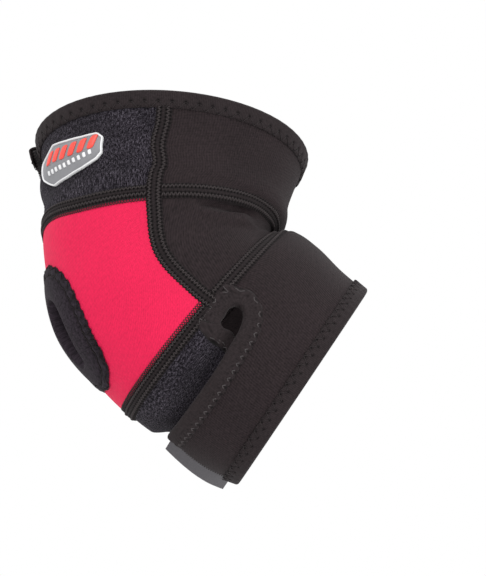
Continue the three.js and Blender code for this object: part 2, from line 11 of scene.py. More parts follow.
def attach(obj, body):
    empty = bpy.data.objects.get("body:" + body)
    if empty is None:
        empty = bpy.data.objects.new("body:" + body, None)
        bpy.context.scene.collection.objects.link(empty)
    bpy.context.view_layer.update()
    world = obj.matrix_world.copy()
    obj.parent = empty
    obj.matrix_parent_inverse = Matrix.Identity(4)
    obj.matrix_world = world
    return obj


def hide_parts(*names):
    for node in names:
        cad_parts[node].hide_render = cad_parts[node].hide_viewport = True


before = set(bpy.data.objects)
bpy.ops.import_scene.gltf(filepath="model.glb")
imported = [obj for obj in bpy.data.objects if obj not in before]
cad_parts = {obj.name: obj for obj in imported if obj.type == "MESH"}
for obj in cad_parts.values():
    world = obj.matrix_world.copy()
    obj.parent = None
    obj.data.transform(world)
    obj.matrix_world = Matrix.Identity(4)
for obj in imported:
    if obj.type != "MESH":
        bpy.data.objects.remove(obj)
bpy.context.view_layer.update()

bl_info = {
    "name": "Elbow brace",
    "version": (1, 0, 0),
    "blender": (4, 5, 0),
    "location": "View3D > Sidebar > Brace",
    "description": "Cloth panels, tapes, seams and badge of a wrap elbow sleeve",
    "category": "Add Mesh",
}

MM = 0.001

# Sizes of the sleeve, as in the CAD source
BEND = math.radians(60.7)
PIVOT_X = 52.6 * MM
PIVOT_Z = 32.4 * MM
UPPER_LENGTH = 33.7 * MM
FOREARM_LENGTH = 41.7 * MM
ELBOW_WIDTH = 103 * MM
ELBOW_DEPTH = 92 * MM
WALL = 2.8 * MM
GAP = 0.3 * MM
TAPE = 0.8 * MM
RIM_TAPE_WIDTH = 6.5 * MM
HEM_TAPE_WIDTH = 6 * MM
SLOT_TAPE_WIDTH = 6.6 * MM
SEAM_WIDTH = 6.7 * MM
HOLE_LENGTH = 34 * MM
HOLE_WIDTH = 19 * MM
HOLE_BAND_WIDTH = 12.5 * MM
TAB_THICKNESS = 1.2 * MM
TAB_OVERHANG = np.array([14, 24]) * MM
TAB_STIFF = 9.0
TAB_FLARE = 4.5 * MM
PLATE_FRAME_WIDTH = 1.5 * MM
STRAP_STEP = WALL + TAPE + 2 * GAP
STRAP_END_STEP = TAB_THICKNESS + 0.1 * MM

# Stations: 0 the rim, 1 and 2 the bend, 3 the hem. Angles: 0 the back, 90 near, 180 front, 270 far.
RIM, HEM = 0.0, 3.0
UPPER_SEAM, LOWER_SEAM, SIDE_SEAM = 1.15, 1.9, 77.0
HOLE_STATION, HOLE_ANGLE = 1.53, -2.0

# station, then front, width and depth of the section as shares of the elbow's width and depth
SECTIONS = np.array([
    (0.0, 0.074, 1.129, 1.112), (0.35, 0.035, 1.061, 1.064), (0.7, 0.006, 1.034, 1.023),
    (0.88, 0.004, 1.011, 1.01), (0.95, -0.004, 1.0, 1.005), (1.0, -0.024, 0.98, 1.001),
    (1.12, -0.046, 0.962, 0.989), (1.25, -0.063, 0.95, 0.978), (1.5, -0.086, 0.962, 0.957),
    (1.75, -0.064, 0.967, 0.965), (1.9, -0.046, 0.985, 0.972), (2.0, -0.024, 1.007, 0.976),
    (2.05, -0.006, 1.027, 0.978), (2.12, 0.001, 1.038, 0.98), (2.35, -0.002, 1.044, 0.983),
    (2.7, -0.03, 1.008, 0.95), (3.0, -0.043, 0.965, 0.911),
])

# Folds at the crook: station, angle, length, spread, height as a share of the elbow's width, lean
FOLDS = [
    (1.32, 124, 0.07, 19, -0.018, 0.0004), (1.32, 236, 0.07, 19, -0.018, -0.0004),
    (1.74, 134, 0.07, 14, -0.008, 0.0), (1.74, 226, 0.07, 14, -0.008, 0.0),
]

# Pull on the cloth at the upper seam: angle and stations
PULL = np.array([
    (-180, 0.045), (-134, 0.04), (-109, 0.016), (-77, 0.014), (-55, 0.03), (-30, 0.06),
    (-12, 0.076), (0, 0.074), (8, 0.072), (14, 0.067), (21.5, 0.058), (29.5, 0.046),
    (38, 0.035), (48, 0.027), (58.7, 0.021), (77, 0.014), (95, 0.013), (109, 0.016),
    (134, 0.04), (180, 0.045),
])

# Crease in the crook: middle and width of its groove and of the ridge below it, from the upper seam's line
CREASE_AT, CREASE_WIDTH, CREASE_DEPTH = 5.1 * MM, 1.3 * MM, 2.8 * MM
RIDGE_AT, RIDGE_WIDTH, RIDGE_HEIGHT = 8.6 * MM, 2.4 * MM, 1.7 * MM

# Limbs: seam and edge stations, turn of the strap, share of its step it stands out or the cloth below
# lies in, the angle of the strap's end at its inner edge and at the sleeve's edge, and how much its end is
# pressed down
LIMBS = {
    "upper": dict(seam=UPPER_SEAM, edge=RIM, turn=-1, rise=1, sink=0, root=36.0, tip=17.0, press=0.33),
    "forearm": dict(seam=LOWER_SEAM, edge=HEM, turn=1, rise=0, sink=1, root=1.0, tip=-16.0, press=0.0),
}
# reach of the strap's inner edge at its end, and reach from which it is free of the cloth below
STRAP_REACH, STRAP_FREE = 0.27, 0.3
# Lift of the straps, as start and run: of the step in reach, and in degrees of the step by the tab, of the
# strap's rise, of the press on its end and of the sinking of the cloth below it
STEP_FADE, TAB_FADE, RISE_FADE = (0.1, 0.17), (34, -24), (112, -40)
PRESS_FADE, SINK_FADE = (70, -40), (-70, 50)

# Grids of the panels: their step, the run of a limb's reach and of a degree round it, and the room that
# a panel leaves to the seams' lines, in reach or stations and in degrees
GRID_STEP, LIMB_RUN, DEGREE_RUN = 0.85 * MM, 48 * MM, 0.86 * MM
CROOK_RUN, CROOK_DEGREE_RUN = 38 * MM, 0.8 * MM
ELBOW_RUNS = np.array([105, 0.87]) * MM
SEAM_ROOM, SIDE_ROOM = 0.003, 0.18

# Tapes: how deep a tape's inner edge is seated, the share of its height left there, and the run over
# which it is pressed down
SEAT, PRESSED, PRESS_RUN = 0.25 * MM, 0.25, 0.9 * MM
BAND_THICKNESS, BAND_INNER_WIDTH = 1.1 * MM, 5 * MM

# Seams: height of the dome, the share of half the width at which the red cloth ends the ground, the
# narrowest share of the crook's cloth, the columns of needle holes, and the threads: phase, from and to as
# shares of half the width, thickness, how deep it is sunk
SEAM_RISE, RED_EDGE, CROOK_SHARE = 0.62 * MM, 0.66, 0.27
HOLE_COLUMNS = (-0.88, -0.4, 0.24, 0.8)
SEAM_THREADS = ((0.25, -0.8, -0.44, 1.3, 0.0), (0.75, -0.3, 0.14, 0.7, 0.16 * MM),
                (1.25, 0.28, 0.7, 1.3, 0.0))

# Strap ends and badge: pitch of the overcast, reaches of the hook tab, how much longer and how hollow its
# end is, and the height of the badge's face
OVERCAST_PITCH = 1.1 * MM
TAB_REACH, TAB_LONGER, TAB_HOLLOW = (0.29, 0.86), 3.2 * MM, 9 * MM
# angle to which the tab runs under the strap, and where past the strap its flare starts and how long it is
TAB_UNDER, FLARE_FADE = 14, (8.5 * MM, 3 * MM)
FACE_LEVEL = GAP + 0.75 * MM

# Edge of the strap, of the slot at its root and of the cloth below: reach and angle
STRAP_LINE = np.array([
    (0.285, 1), (0.312, 24.5), (0.329, 48), (0.318, 63), (0.308, 72.3), (0.278, 77.7), (0.236, 80.9),
    (0.179, 82.3), (0.111, 81.8), (0.08, 79.3), (0.082, 74.2), (0.09, 69.8), (0.147, 67.5),
    (0.222, 68.6), (0.29, 67.5), (0.6, 66.5), (1, 65),
])
RING_ROW, SLOT_TOP, TAPE_LAST = 4, 9, 15

# Outline of the badge: angle, upper and lower station
PLATE = np.array([
    (8, 0.55, 0.77), (13, 0.465, 0.875), (17.5, 0.375, 0.945), (29, 0.43, 0.925), (39, 0.456, 0.875),
    (47.5, 0.457, 0.805), (51.3, 0.53, 0.735),
])


# Shape of the sleeve

def along(xs, ys, x):
    """Cubic through the points (xs, ys) whose slopes are the neighbouring spans' rates, each weighted by
    the other's length, and straight beyond both ends."""
    span = np.diff(xs)
    rate = np.diff(ys) / span
    inner = (rate[1:] * span[:-1] + rate[:-1] * span[1:]) / (span[:-1] + span[1:])
    slope = np.concatenate([rate[:1], inner, rate[-1:]])
    x = np.asarray(x, float)
    i = np.clip(np.searchsorted(xs, x) - 1, 0, len(xs) - 2)
    h = span[i]
    t = (x - xs[i]) / h
    body = ((2 * t**3 - 3 * t**2 + 1) * ys[i] + (t**3 - 2 * t**2 + t) * h * slope[i]
            + (3 * t**2 - 2 * t**3) * ys[i + 1] + (t**3 - t**2) * h * slope[i + 1])
    body = np.where(x < xs[0], ys[0] + (x - xs[0]) * slope[0], body)
    return np.where(x > xs[-1], ys[-1] + (x - xs[-1]) * slope[-1], body)


def ease(x):
    """0 below 0, 1 above 1, and 3t^2 - 2t^3 between."""
    t = np.clip(x, 0, 1)
    return t * t * (3 - 2 * t)


def fade(x, start, run):
    """0 before the start and 1 past the run's end, eased between; a run below 0 goes the other way."""
    return ease((x - start) / run)


def bell(x, middle, width):
    """1 at the middle, falling off as e to the minus square of the distance over the width."""
    return np.exp(-(((x - middle) / width) ** 2))


def unit(v):
    return v / np.linalg.norm(v, axis=-1, keepdims=True)


def plain_skin(s, a):
    """Ellipse in each section, turned about the crook line by the bend times the station past 1 and set
    along the arm above 1 and below 2."""
    s, a = np.broadcast_arrays(np.asarray(s, float), np.asarray(a, float))
    turn = BEND * np.clip(s - 1, 0, 1)
    above = UPPER_LENGTH * np.maximum(1 - s, 0)
    below = FOREARM_LENGTH * np.maximum(s - 2, 0)
    front = ELBOW_WIDTH * along(SECTIONS[:, 0], SECTIONS[:, 1], s)
    width = ELBOW_WIDTH * along(SECTIONS[:, 0], SECTIONS[:, 2], s)
    depth = ELBOW_DEPTH * along(SECTIONS[:, 0], SECTIONS[:, 3], s)
    angle = np.radians(a)
    reach = -front + width / 2 * (1 + np.cos(angle))
    x = PIVOT_X + below * math.sin(BEND) - reach * np.cos(turn)
    z = PIVOT_Z + above - below * math.cos(BEND) - reach * np.sin(turn)
    return np.stack([x, -depth / 2 * np.sin(angle), z], -1)


def slopes(face, s, a, ds=0.002, da=0.1):
    """Change of the face per station and per degree."""
    return ((face(s + ds, a) - face(s - ds, a)) / (2 * ds),
            (face(s, a + da) - face(s, a - da)) / (2 * da))


def outward(face, s, a):
    return unit(np.cross(*slopes(face, s, a)))


def drawn(s, a):
    """Station moved up where the cloth round the upper seam is pulled towards the rim: the pull at that
    angle times a bell of the station, wider above the seam than below it."""
    pull = along(PULL[:, 0], PULL[:, 1], np.mod(a + 180, 360) - 180)
    x = (s - UPPER_SEAM) / np.where(s < UPPER_SEAM, 0.13, 0.07)
    return s - pull * np.exp(-x * x)


def skin(s, a):
    """Plain skin moved along its normal by the folds, each a bell in station and angle."""
    s, a = np.broadcast_arrays(np.asarray(s, float), np.asarray(a, float))
    s = drawn(s, a)
    wrapped = np.mod(a, 360)
    height = np.zeros(s.shape)
    for station, angle, length, spread, share, lean in FOLDS:
        x = (s - station - lean * (wrapped - angle)) / length
        height += share * ELBOW_WIDTH * np.exp(-x * x - ((wrapped - angle) / spread) ** 2)
    return plain_skin(s, a) + outward(plain_skin, s, a) * height[..., None]


def raised(s, a, h):
    """Point at a height above the outer face."""
    return skin(s, a) + outward(skin, s, a) * np.asarray(h, float)[..., None]


def stations_for(length, s, a):
    return length / np.linalg.norm(slopes(skin, s, a)[0], axis=-1)


def degrees_for(length, s, a):
    return length / np.linalg.norm(slopes(skin, s, a)[1], axis=-1)


def walk(length, s, a, steps=8):
    """Station reached by going a length down the sleeve."""
    for _ in range(steps):
        s = s + stations_for(length / steps, s, a)
    return s


def station_of(limb, reach):
    return limb["seam"] + (limb["edge"] - limb["seam"]) * reach


def reach_of(limb, station):
    return (station - limb["seam"]) / (limb["edge"] - limb["seam"])


def end_angle(limb, reach):
    """Angle of the strap's end: its root angle up to the strap's inner edge, then straight to its tip."""
    share = np.clip((reach - STRAP_REACH) / (1 - STRAP_REACH), 0, 1)
    return limb["root"] + (limb["tip"] - limb["root"]) * share


def strap_step(reach, angle):
    """Step between strap and cloth below: nothing at the seam, full past the slot, more by the tab."""
    return fade(reach, *STEP_FADE) * (STRAP_STEP + STRAP_END_STEP * fade(angle, *TAB_FADE))


def strap_height(limb, reach, angle):
    """Height of the strap's face: its share of the step, eased in from the front and pressed at its end."""
    pressed = 1 - limb["press"] * fade(angle, *PRESS_FADE)
    return limb["rise"] * strap_step(reach, angle) * fade(angle, *RISE_FADE) * pressed


def loop_height(limb, reach, angle):
    """Height of the cloth below the strap: its share of the step downwards, eased out round the back."""
    return -limb["sink"] * strap_step(reach, angle) * fade(angle, *SINK_FADE)


def strap_line(limb, first, last, n=8):
    """Smooth points along the strap line between two of its rows, n to a row: row, reach and angle."""
    rows = np.arange(len(STRAP_LINE), dtype=float)
    angles = STRAP_LINE[:, 1].astype(float).copy()
    angles[0] = end_angle(limb, STRAP_LINE[0, 0])
    angles[1] = (angles[0] + angles[2]) / 2
    t = np.linspace(first, last, int(round((last - first) * n)) + 1)
    return t, along(rows, STRAP_LINE[:, 0], t), along(rows, angles, t)


# Meshes

def piece(name, points, quads, covers, slot, node=None, kind=None, uv=None, hole_shade=None, smooth=True):
    """Closed mesh from points and quads, turned so that its volume is positive, in place of a node. covers:
    names of its finishes; kind: which of them each face has; uv: a pair of metres at each point; and last
    the painted shade in needle holes, a number from 0 to 1 at each point."""
    points = np.asarray(points, float).reshape(-1, 3)
    quads = np.asarray(quads, np.int32)
    a, b, c, d = (points[quads[:, k]] for k in range(4))
    volume = np.einsum("ij,ij->", a, np.cross(b, c)) + np.einsum("ij,ij->", a, np.cross(c, d))
    if volume < 0:
        quads = quads[:, ::-1]
    mesh = bpy.data.meshes.new(name)
    mesh.vertices.add(len(points))
    mesh.vertices.foreach_set("co", points.ravel())
    mesh.loops.add(quads.size)
    mesh.loops.foreach_set("vertex_index", quads.ravel())
    mesh.polygons.add(len(quads))
    mesh.polygons.foreach_set("loop_start", np.arange(0, quads.size, 4, dtype=np.int32))
    mesh.polygons.foreach_set("loop_total", np.full(len(quads), 4, np.int32))
    if kind is not None:
        mesh.polygons.foreach_set("material_index", np.asarray(kind, np.int32))
    mesh.polygons.foreach_set("use_smooth", np.full(len(quads), smooth))
    mesh.update(calc_edges=True)
    if uv is not None:
        layer = mesh.uv_layers.new(name="cloth")
        layer.data.foreach_set("uv", np.asarray(uv, float).reshape(-1, 2)[quads.ravel()].ravel())
    # painted shade in needle holes, kept at each point for the tape and seam materials
    if hole_shade is not None:
        layer = mesh.attributes.new("hole_shade", "FLOAT", "POINT")
        layer.data.foreach_set("value", np.asarray(hole_shade, float).ravel())
    for cover in covers:
        mesh.materials.append(finish(cover))
    obj = bpy.data.objects.new(name, mesh)
    bpy.context.scene.collection.objects.link(obj)
    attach(obj, "root")
    if node is not None:
        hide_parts(node)
    return obj


def shell(keep, outer, inner):
    """Closed sheet over the kept cells of a grid: outer and inner faces, and walls round every edge.
    Returns points, quads, kind of each quad (0 outer, 1 inner, 2 wall) and the grid cell's vertices."""
    rows, columns = outer.shape[:2]
    index = np.arange(rows * columns).reshape(rows, columns)
    a, b, c, d = index[:-1, :-1], index[1:, :-1], index[1:, 1:], index[:-1, 1:]
    top = np.stack([a[keep], b[keep], c[keep], d[keep]], -1)
    n = rows * columns
    pad = np.pad(keep, 1)
    sides = [(a, b, pad[1:-1, :-2]), (b, c, pad[2:, 1:-1]), (c, d, pad[1:-1, 2:]), (d, a, pad[:-2, 1:-1])]
    walls = []
    for p, q, neighbour in sides:
        open_edge = keep & ~neighbour
        p, q = p[open_edge], q[open_edge]
        walls.append(np.stack([q, p, p + n, q + n], -1))
    walls = np.concatenate(walls)
    quads = np.concatenate([top, top[:, ::-1] + n, walls])
    kind = np.concatenate([np.zeros(len(top)), np.ones(len(top)), np.full(len(walls), 2)])
    points = np.concatenate([outer.reshape(-1, 3), inner.reshape(-1, 3)])
    used, quads_flat = np.unique(quads, return_inverse=True)
    return points[used], quads_flat.reshape(-1, 4), kind, used % n


def cell_middle(grid):
    """Mean of the four corners of each cell."""
    return (grid[:-1, :-1] + grid[1:, :-1] + grid[1:, 1:] + grid[:-1, 1:]) / 4


def inside(polygon, x, y):
    """Even-odd test of points against a closed polygon."""
    px, py = polygon[:, 0], polygon[:, 1]
    qx, qy = np.roll(px, -1), np.roll(py, -1)
    x, y = np.asarray(x)[..., None], np.asarray(y)[..., None]
    crosses = (py > y) != (qy > y)
    with np.errstate(divide="ignore", invalid="ignore"):
        at = px + (y - py) * (qx - px) / np.where(qy == py, np.inf, qy - py)
    return (crosses & (x < at)).sum(-1) % 2 == 1


def snap(keep, x, y, line):
    """Moves each grid point on the edge of the kept cells to the nearest point of a polyline."""
    pad = np.pad(keep, 1).astype(int)
    touch = pad[:-1, :-1] + pad[1:, :-1] + pad[1:, 1:] + pad[:-1, 1:]
    rim = (touch > 0) & (touch < 4)
    rim[0, :] = rim[-1, :] = rim[:, 0] = rim[:, -1] = False
    p = np.stack([x[rim], y[rim]], -1)[:, None, :]
    start, run = line[:-1], np.diff(line, axis=0)
    t = np.clip(((p - start) * run).sum(-1) / np.maximum((run * run).sum(-1), 1e-12), 0, 1)
    near = start + t[..., None] * run
    best = np.argmin(((p - near) ** 2).sum(-1), 1)
    found = near[np.arange(len(best)), best]
    x, y = x.copy(), y.copy()
    x[rim], y[rim] = found[:, 0], found[:, 1]
    return x, y


def swept(rings, closed=False):
    """Solid along a line from rings whose second half runs back under the first. Returns its quads."""
    n, m = rings.shape[:2]
    i = np.arange(n if closed else n - 1)[:, None]
    k = np.arange(m)[None, :]
    j, l = (i + 1) % n, (k + 1) % m
    sides = np.stack(np.broadcast_arrays(i * m + k, i * m + l, j * m + l, j * m + k), -1).reshape(-1, 4)
    if closed:
        return sides
    h = np.arange(m // 2 - 1)
    first = np.stack([h, m - 1 - h, m - 2 - h, h + 1], -1)
    last = (n - 1) * m + first[:, ::-1]
    return np.concatenate([sides, first, last])


def thread(points, up, radius, sides=6, closed=False):
    """Round thread along points: rings of the given sides square to the path."""
    if closed:
        run = np.roll(points, -1, 0) - np.roll(points, 1, 0)
    else:
        run = np.gradient(points, axis=0)
    run = unit(run)
    side = unit(np.cross(run, up))
    top = np.cross(side, run)
    phi = 2 * np.pi * np.arange(sides) / sides
    radius = np.broadcast_to(np.asarray(radius, float), (len(points),))[:, None, None]
    ring = np.cos(phi)[:, None] * side[:, None] + np.sin(phi)[:, None] * top[:, None]
    return points[:, None] + radius * ring


def join(parts):
    """One piece's points and quads from several: a list of (points, quads)."""
    points, quads, base = [], [], 0
    for p, q in parts:
        p = p.reshape(-1, 3)
        points.append(p)
        quads.append(q + base)
        base += len(p)
    return np.concatenate(points), np.concatenate(quads)


def lengths(s, a):
    """How far along a line of stations and angles each of its places lies."""
    p = raised(s, a, np.zeros(len(s)))
    return np.concatenate([[0], np.cumsum(np.linalg.norm(np.diff(p, axis=0), axis=1))])


def even(s, a, step):
    """Places a step apart along a line of stations and angles, and how far along each lies."""
    far = lengths(s, a)
    n = max(int(round(far[-1] / step)), 2)
    y = np.linspace(0, far[-1], n + 1)
    return np.interp(y, far, s), np.interp(y, far, a), y


def zigzag(y, pitch, low, high, phase=0.0):
    """Rounded triangle wave between low and high, once in each pitch."""
    w = 2 * np.pi * (y / pitch + phase)
    t = np.arcsin(0.97 * np.sin(w)) / np.arcsin(0.97)
    return low + (high - low) * 0.5 * (1 + t)


class Edge:
    """Line on the sleeve with room across it. Seen on the flat sleeve, angle to the right and station
    down, across points to the line's right: the step across is turned into stations and degrees by the
    skin's slopes, and points outside the cloth (across below 0) go straight on."""

    def __init__(self, s, a, y, lift=None, closed=False):
        self.s, self.a, self.y, self.lift, self.closed = s, a, y, lift, closed
        ds, da = slopes(skin, s, a)
        if closed:
            step_s = np.roll(s, -1) - np.roll(s, 1)
            step_a = np.roll(a, -1) - np.roll(a, 1)
        else:
            step_s, step_a = np.gradient(s), np.gradient(a)
        run = unit(ds * step_s[:, None] + da * step_a[:, None])
        self.up = outward(skin, s, a)
        self.over = unit(np.cross(run, self.up))
        ss, sa, aa = (ds * ds).sum(-1), (ds * da).sum(-1), (da * da).sum(-1)
        so, ao = (ds * self.over).sum(-1), (da * self.over).sum(-1)
        det = ss * aa - sa * sa
        self.per_s, self.per_a = (so * aa - ao * sa) / det, (ao * ss - so * sa) / det

    def place(self, across, height):
        """Points at (line place, k): across and height are arrays of places by k."""
        across, height = np.broadcast_arrays(across, height)
        b = np.maximum(across, 0)
        s = self.s[:, None] + self.per_s[:, None] * b
        a = self.a[:, None] + self.per_a[:, None] * b
        lift = 0 if self.lift is None else self.lift(s, a)
        out = np.minimum(across, 0)[..., None] * self.over[:, None]
        return raised(s, a, height + lift) + out

    def sewn(self, x, h, radius, sides=6):
        """Thread that lies at x across and h high at each place of the line."""
        points = self.place(x[:, None], h[:, None])[:, 0]
        rings = thread(points, self.up, radius, sides, self.closed)
        return rings, swept(rings, self.closed)


# Materials

def new_material(name, rough, specular, sheen=0.0, sheen_rough=0.5):
    """Material with its plain values set, its nodes and its shader."""
    material = bpy.data.materials.new(name)
    material.use_nodes = True
    shader = material.node_tree.nodes["Principled BSDF"]
    for key, value in (("Roughness", rough), ("Specular IOR Level", specular),
                       ("Sheen Weight", sheen), ("Sheen Roughness", sheen_rough)):
        shader.inputs[key].default_value = value
    return material, Nodes(material.node_tree), shader


class Nodes:
    """Short hand for a material's nodes."""

    def __init__(self, tree):
        self.tree = tree

    def link(self, socket, value):
        if isinstance(value, bpy.types.NodeSocket):
            self.tree.links.new(value, socket)
        else:
            socket.default_value = value

    def add(self, kind, **values):
        node = self.tree.nodes.new(kind)
        for key, value in values.items():
            setattr(node, key, value)
        return node

    def math(self, operation, a, b=0.0, c=0.0):
        node = self.add("ShaderNodeMath", operation=operation)
        for socket, value in zip(node.inputs, (a, b, c)):
            self.link(socket, value)
        return node.outputs[0]

    def noise(self, vector, scale, detail=2.0, rough=0.55):
        node = self.add("ShaderNodeTexNoise")
        self.link(node.inputs["Vector"], vector)
        node.inputs["Scale"].default_value = scale
        node.inputs["Detail"].default_value = detail
        node.inputs["Roughness"].default_value = rough
        return node.outputs["Fac"]

    def spread(self, value, low, high, to_low=0.0, to_high=1.0):
        node = self.add("ShaderNodeMapRange")
        self.link(node.inputs["Value"], value)
        for key, number in (("From Min", low), ("From Max", high), ("To Min", to_low), ("To Max", to_high)):
            node.inputs[key].default_value = number
        return node.outputs[0]

    def blend(self, factor, a, b):
        node = self.add("ShaderNodeMix", data_type="RGBA")
        self.link(node.inputs["Factor"], factor)
        self.link(node.inputs["A"], a)
        self.link(node.inputs["B"], b)
        return node.outputs["Result"]

    def mapped(self, source, scale):
        node = self.add("ShaderNodeMapping")
        self.link(node.inputs["Vector"], source)
        node.inputs["Scale"].default_value = scale
        return node.outputs[0]

    def bump(self, height, strength, distance, normal=None):
        node = self.add("ShaderNodeBump")
        self.link(node.inputs["Height"], height)
        node.inputs["Strength"].default_value = strength
        node.inputs["Distance"].default_value = distance
        if normal is not None:
            self.link(node.inputs["Normal"], normal)
        return node.outputs[0]

    def uv(self):
        return self.add("ShaderNodeUVMap", uv_map="cloth").outputs[0]

    def place(self):
        return self.add("ShaderNodeTexCoord").outputs["Object"]


def shade(rgb, factor=1.0):
    return tuple(min(1.0, c * factor) for c in rgb[:3]) + (1.0,)


def knit(name, colour, wale, course, slant=0.0, contrast=0.5, bump=0.5, rough=0.85, specular=0.12):
    """Fine jersey: wales a pitch apart along u, courses along v, leaning by slant, broken by a grain, and
    a broad, faint change of colour."""
    material, n, shader = new_material(name, rough, specular, 0.03)
    uv = n.uv()
    split = n.add("ShaderNodeSeparateXYZ")
    n.link(split.inputs[0], uv)
    u, v = split.outputs[0], split.outputs[1]
    wobble = n.spread(n.noise(uv, 260.0, 2.0), 0.3, 0.7, -0.22 * MM, 0.22 * MM)
    leaning = n.math("ADD", n.math("ADD", u, n.math("MULTIPLY", v, slant)), wobble)
    wales = n.math("SINE", n.math("MULTIPLY", leaning, 2 * math.pi / wale))
    rows = n.math("ADD", v, n.math("MULTIPLY", u, 0.3))
    courses = n.math("SINE", n.math("MULTIPLY", rows, 2 * math.pi / course))
    ribs = n.math("ADD", n.math("MULTIPLY", wales, 0.7), n.math("MULTIPLY", courses, 0.3))
    grain = n.noise(n.mapped(uv, (1, 0.6, 1)), 950.0, 3.0, 0.65)
    broad = n.noise(n.place(), 38.0, 3.0)
    level = n.math("ADD", n.math("MULTIPLY", ribs, 0.24), n.spread(grain, 0.25, 0.75, 0.08, 0.92))
    level = n.math("ADD", level, n.spread(broad, 0.3, 0.7, -0.1, 0.1))
    tone = n.blend(level, shade(colour, 1 - contrast), shade(colour, 1 + contrast))
    n.link(shader.inputs["Base Color"], tone)
    height = n.math("ADD", n.math("MULTIPLY", ribs, 0.5), n.math("MULTIPLY", grain, 0.8))
    n.link(shader.inputs["Normal"], n.bump(height, bump, 0.0003))
    return material


def plush(name, dark, light, along_u, specular=0.08, fine=1.0):
    """Brushed loop pile: short streaks of painted sheen on the loops and painted shade between them, along
    one way of the cloth, thicker in patches."""
    material, n, shader = new_material(name, 0.95, specular, 0.04, 0.4)
    uv = n.uv()
    stretch = (0.42, 1.25, 1) if along_u else (1.25, 0.42, 1)
    fibres = n.noise(n.mapped(uv, stretch), 1350.0 * fine, 3.0, 0.7)
    loops = n.noise(uv, 2100.0 * fine, 2.0, 0.65)
    patches = n.noise(n.place(), 75.0, 3.0, 0.6)
    pile = n.math("ADD", n.math("MULTIPLY", fibres, 0.6), n.math("MULTIPLY", loops, 0.4))
    streak = n.spread(pile, 0.43, 0.66)
    streak = n.math("POWER", streak, 1.7)
    level = n.math("MULTIPLY", streak, n.spread(patches, 0.35, 0.68, 0.55, 1.0))
    # painted sheen and shade: the streaks blend from the shade of the pile's depth to the sheen on its tips
    n.link(shader.inputs["Base Color"], n.blend(level, shade(dark), shade(light)))
    n.link(shader.inputs["Normal"], n.bump(streak, 1.0, 0.0006))
    return material


def webbing(name, colour, pitch, contrast=0.45, specular=0.12, hole_shaded=True, grain_size=1000.0,
            ribbed=0.22):
    """Woven tape: fine ribs across it, a dusty grain, and painted shade darkening its needle holes where
    the mesh gives it.
    """
    material, n, shader = new_material(name, 0.85, specular, 0.03)
    uv = n.uv()
    split = n.add("ShaderNodeSeparateXYZ")
    n.link(split.inputs[0], uv)
    ribs = n.math("SINE", n.math("MULTIPLY", split.outputs[0], 2 * math.pi / pitch))
    grain = n.noise(uv, grain_size, 3.0, 0.65)
    broad = n.noise(n.place(), 60.0, 2.0)
    level = n.math("ADD", n.math("MULTIPLY", ribs, ribbed), n.spread(grain, 0.25, 0.75, 0.05, 0.95))
    level = n.math("ADD", level, n.spread(broad, 0.3, 0.7, -0.1, 0.1))
    tone = n.blend(level, shade(colour, 1 - contrast), shade(colour, 1 + contrast))
    # painted shade in the needle holes: the colour there is darkened to 0.08 of the tape's own
    if hole_shaded:
        hole_shade = n.add("ShaderNodeAttribute", attribute_name="hole_shade").outputs["Fac"]
        tone = n.blend(hole_shade, tone, shade(colour, 0.08))
    n.link(shader.inputs["Base Color"], tone)
    height = n.math("ADD", n.math("MULTIPLY", ribs, 1.4 * ribbed), grain)
    n.link(shader.inputs["Normal"], n.bump(height, 0.5, 0.0003))
    return material


def yarn(name, colour, specular=0.15):
    """Twisted thread: bands round it and a fine grain."""
    material, n, shader = new_material(name, 0.6, specular, 0.04)
    grain = n.noise(n.place(), 2600.0, 2.0)
    tone = n.blend(n.spread(grain, 0.35, 0.65), shade(colour, 0.7), shade(colour, 1.35))
    n.link(shader.inputs["Base Color"], tone)
    n.link(shader.inputs["Normal"], n.bump(grain, 0.5, 0.0002))
    return material


def foam(name, colour):
    """Cut edge of the foamed rubber: open pores."""
    material, n, shader = new_material(name, 0.9, 0.2)
    pores = n.noise(n.place(), 1400.0, 3.0, 0.7)
    tone = n.blend(n.spread(pores, 0.4, 0.6), shade(colour, 0.6), shade(colour, 1.3))
    n.link(shader.inputs["Base Color"], tone)
    n.link(shader.inputs["Normal"], n.bump(pores, 0.6, 0.0004))
    return material


def rubber(name, colour, rough=0.42, grain_size=900.0, specular=0.5):
    """Moulded soft plastic with a faint grain and slight change of gloss."""
    material, n, shader = new_material(name, rough, specular)
    grain = n.noise(n.place(), grain_size, 3.0)
    wide = n.noise(n.place(), 120.0, 2.0)
    tone = n.blend(n.spread(wide, 0.3, 0.7), shade(colour, 0.93), shade(colour, 1.05))
    n.link(shader.inputs["Base Color"], tone)
    n.link(shader.inputs["Roughness"], n.spread(grain, 0.3, 0.7, rough - 0.05, rough + 0.1))
    n.link(shader.inputs["Normal"], n.bump(grain, 0.15, 0.0002))
    return material


_finishes = {}


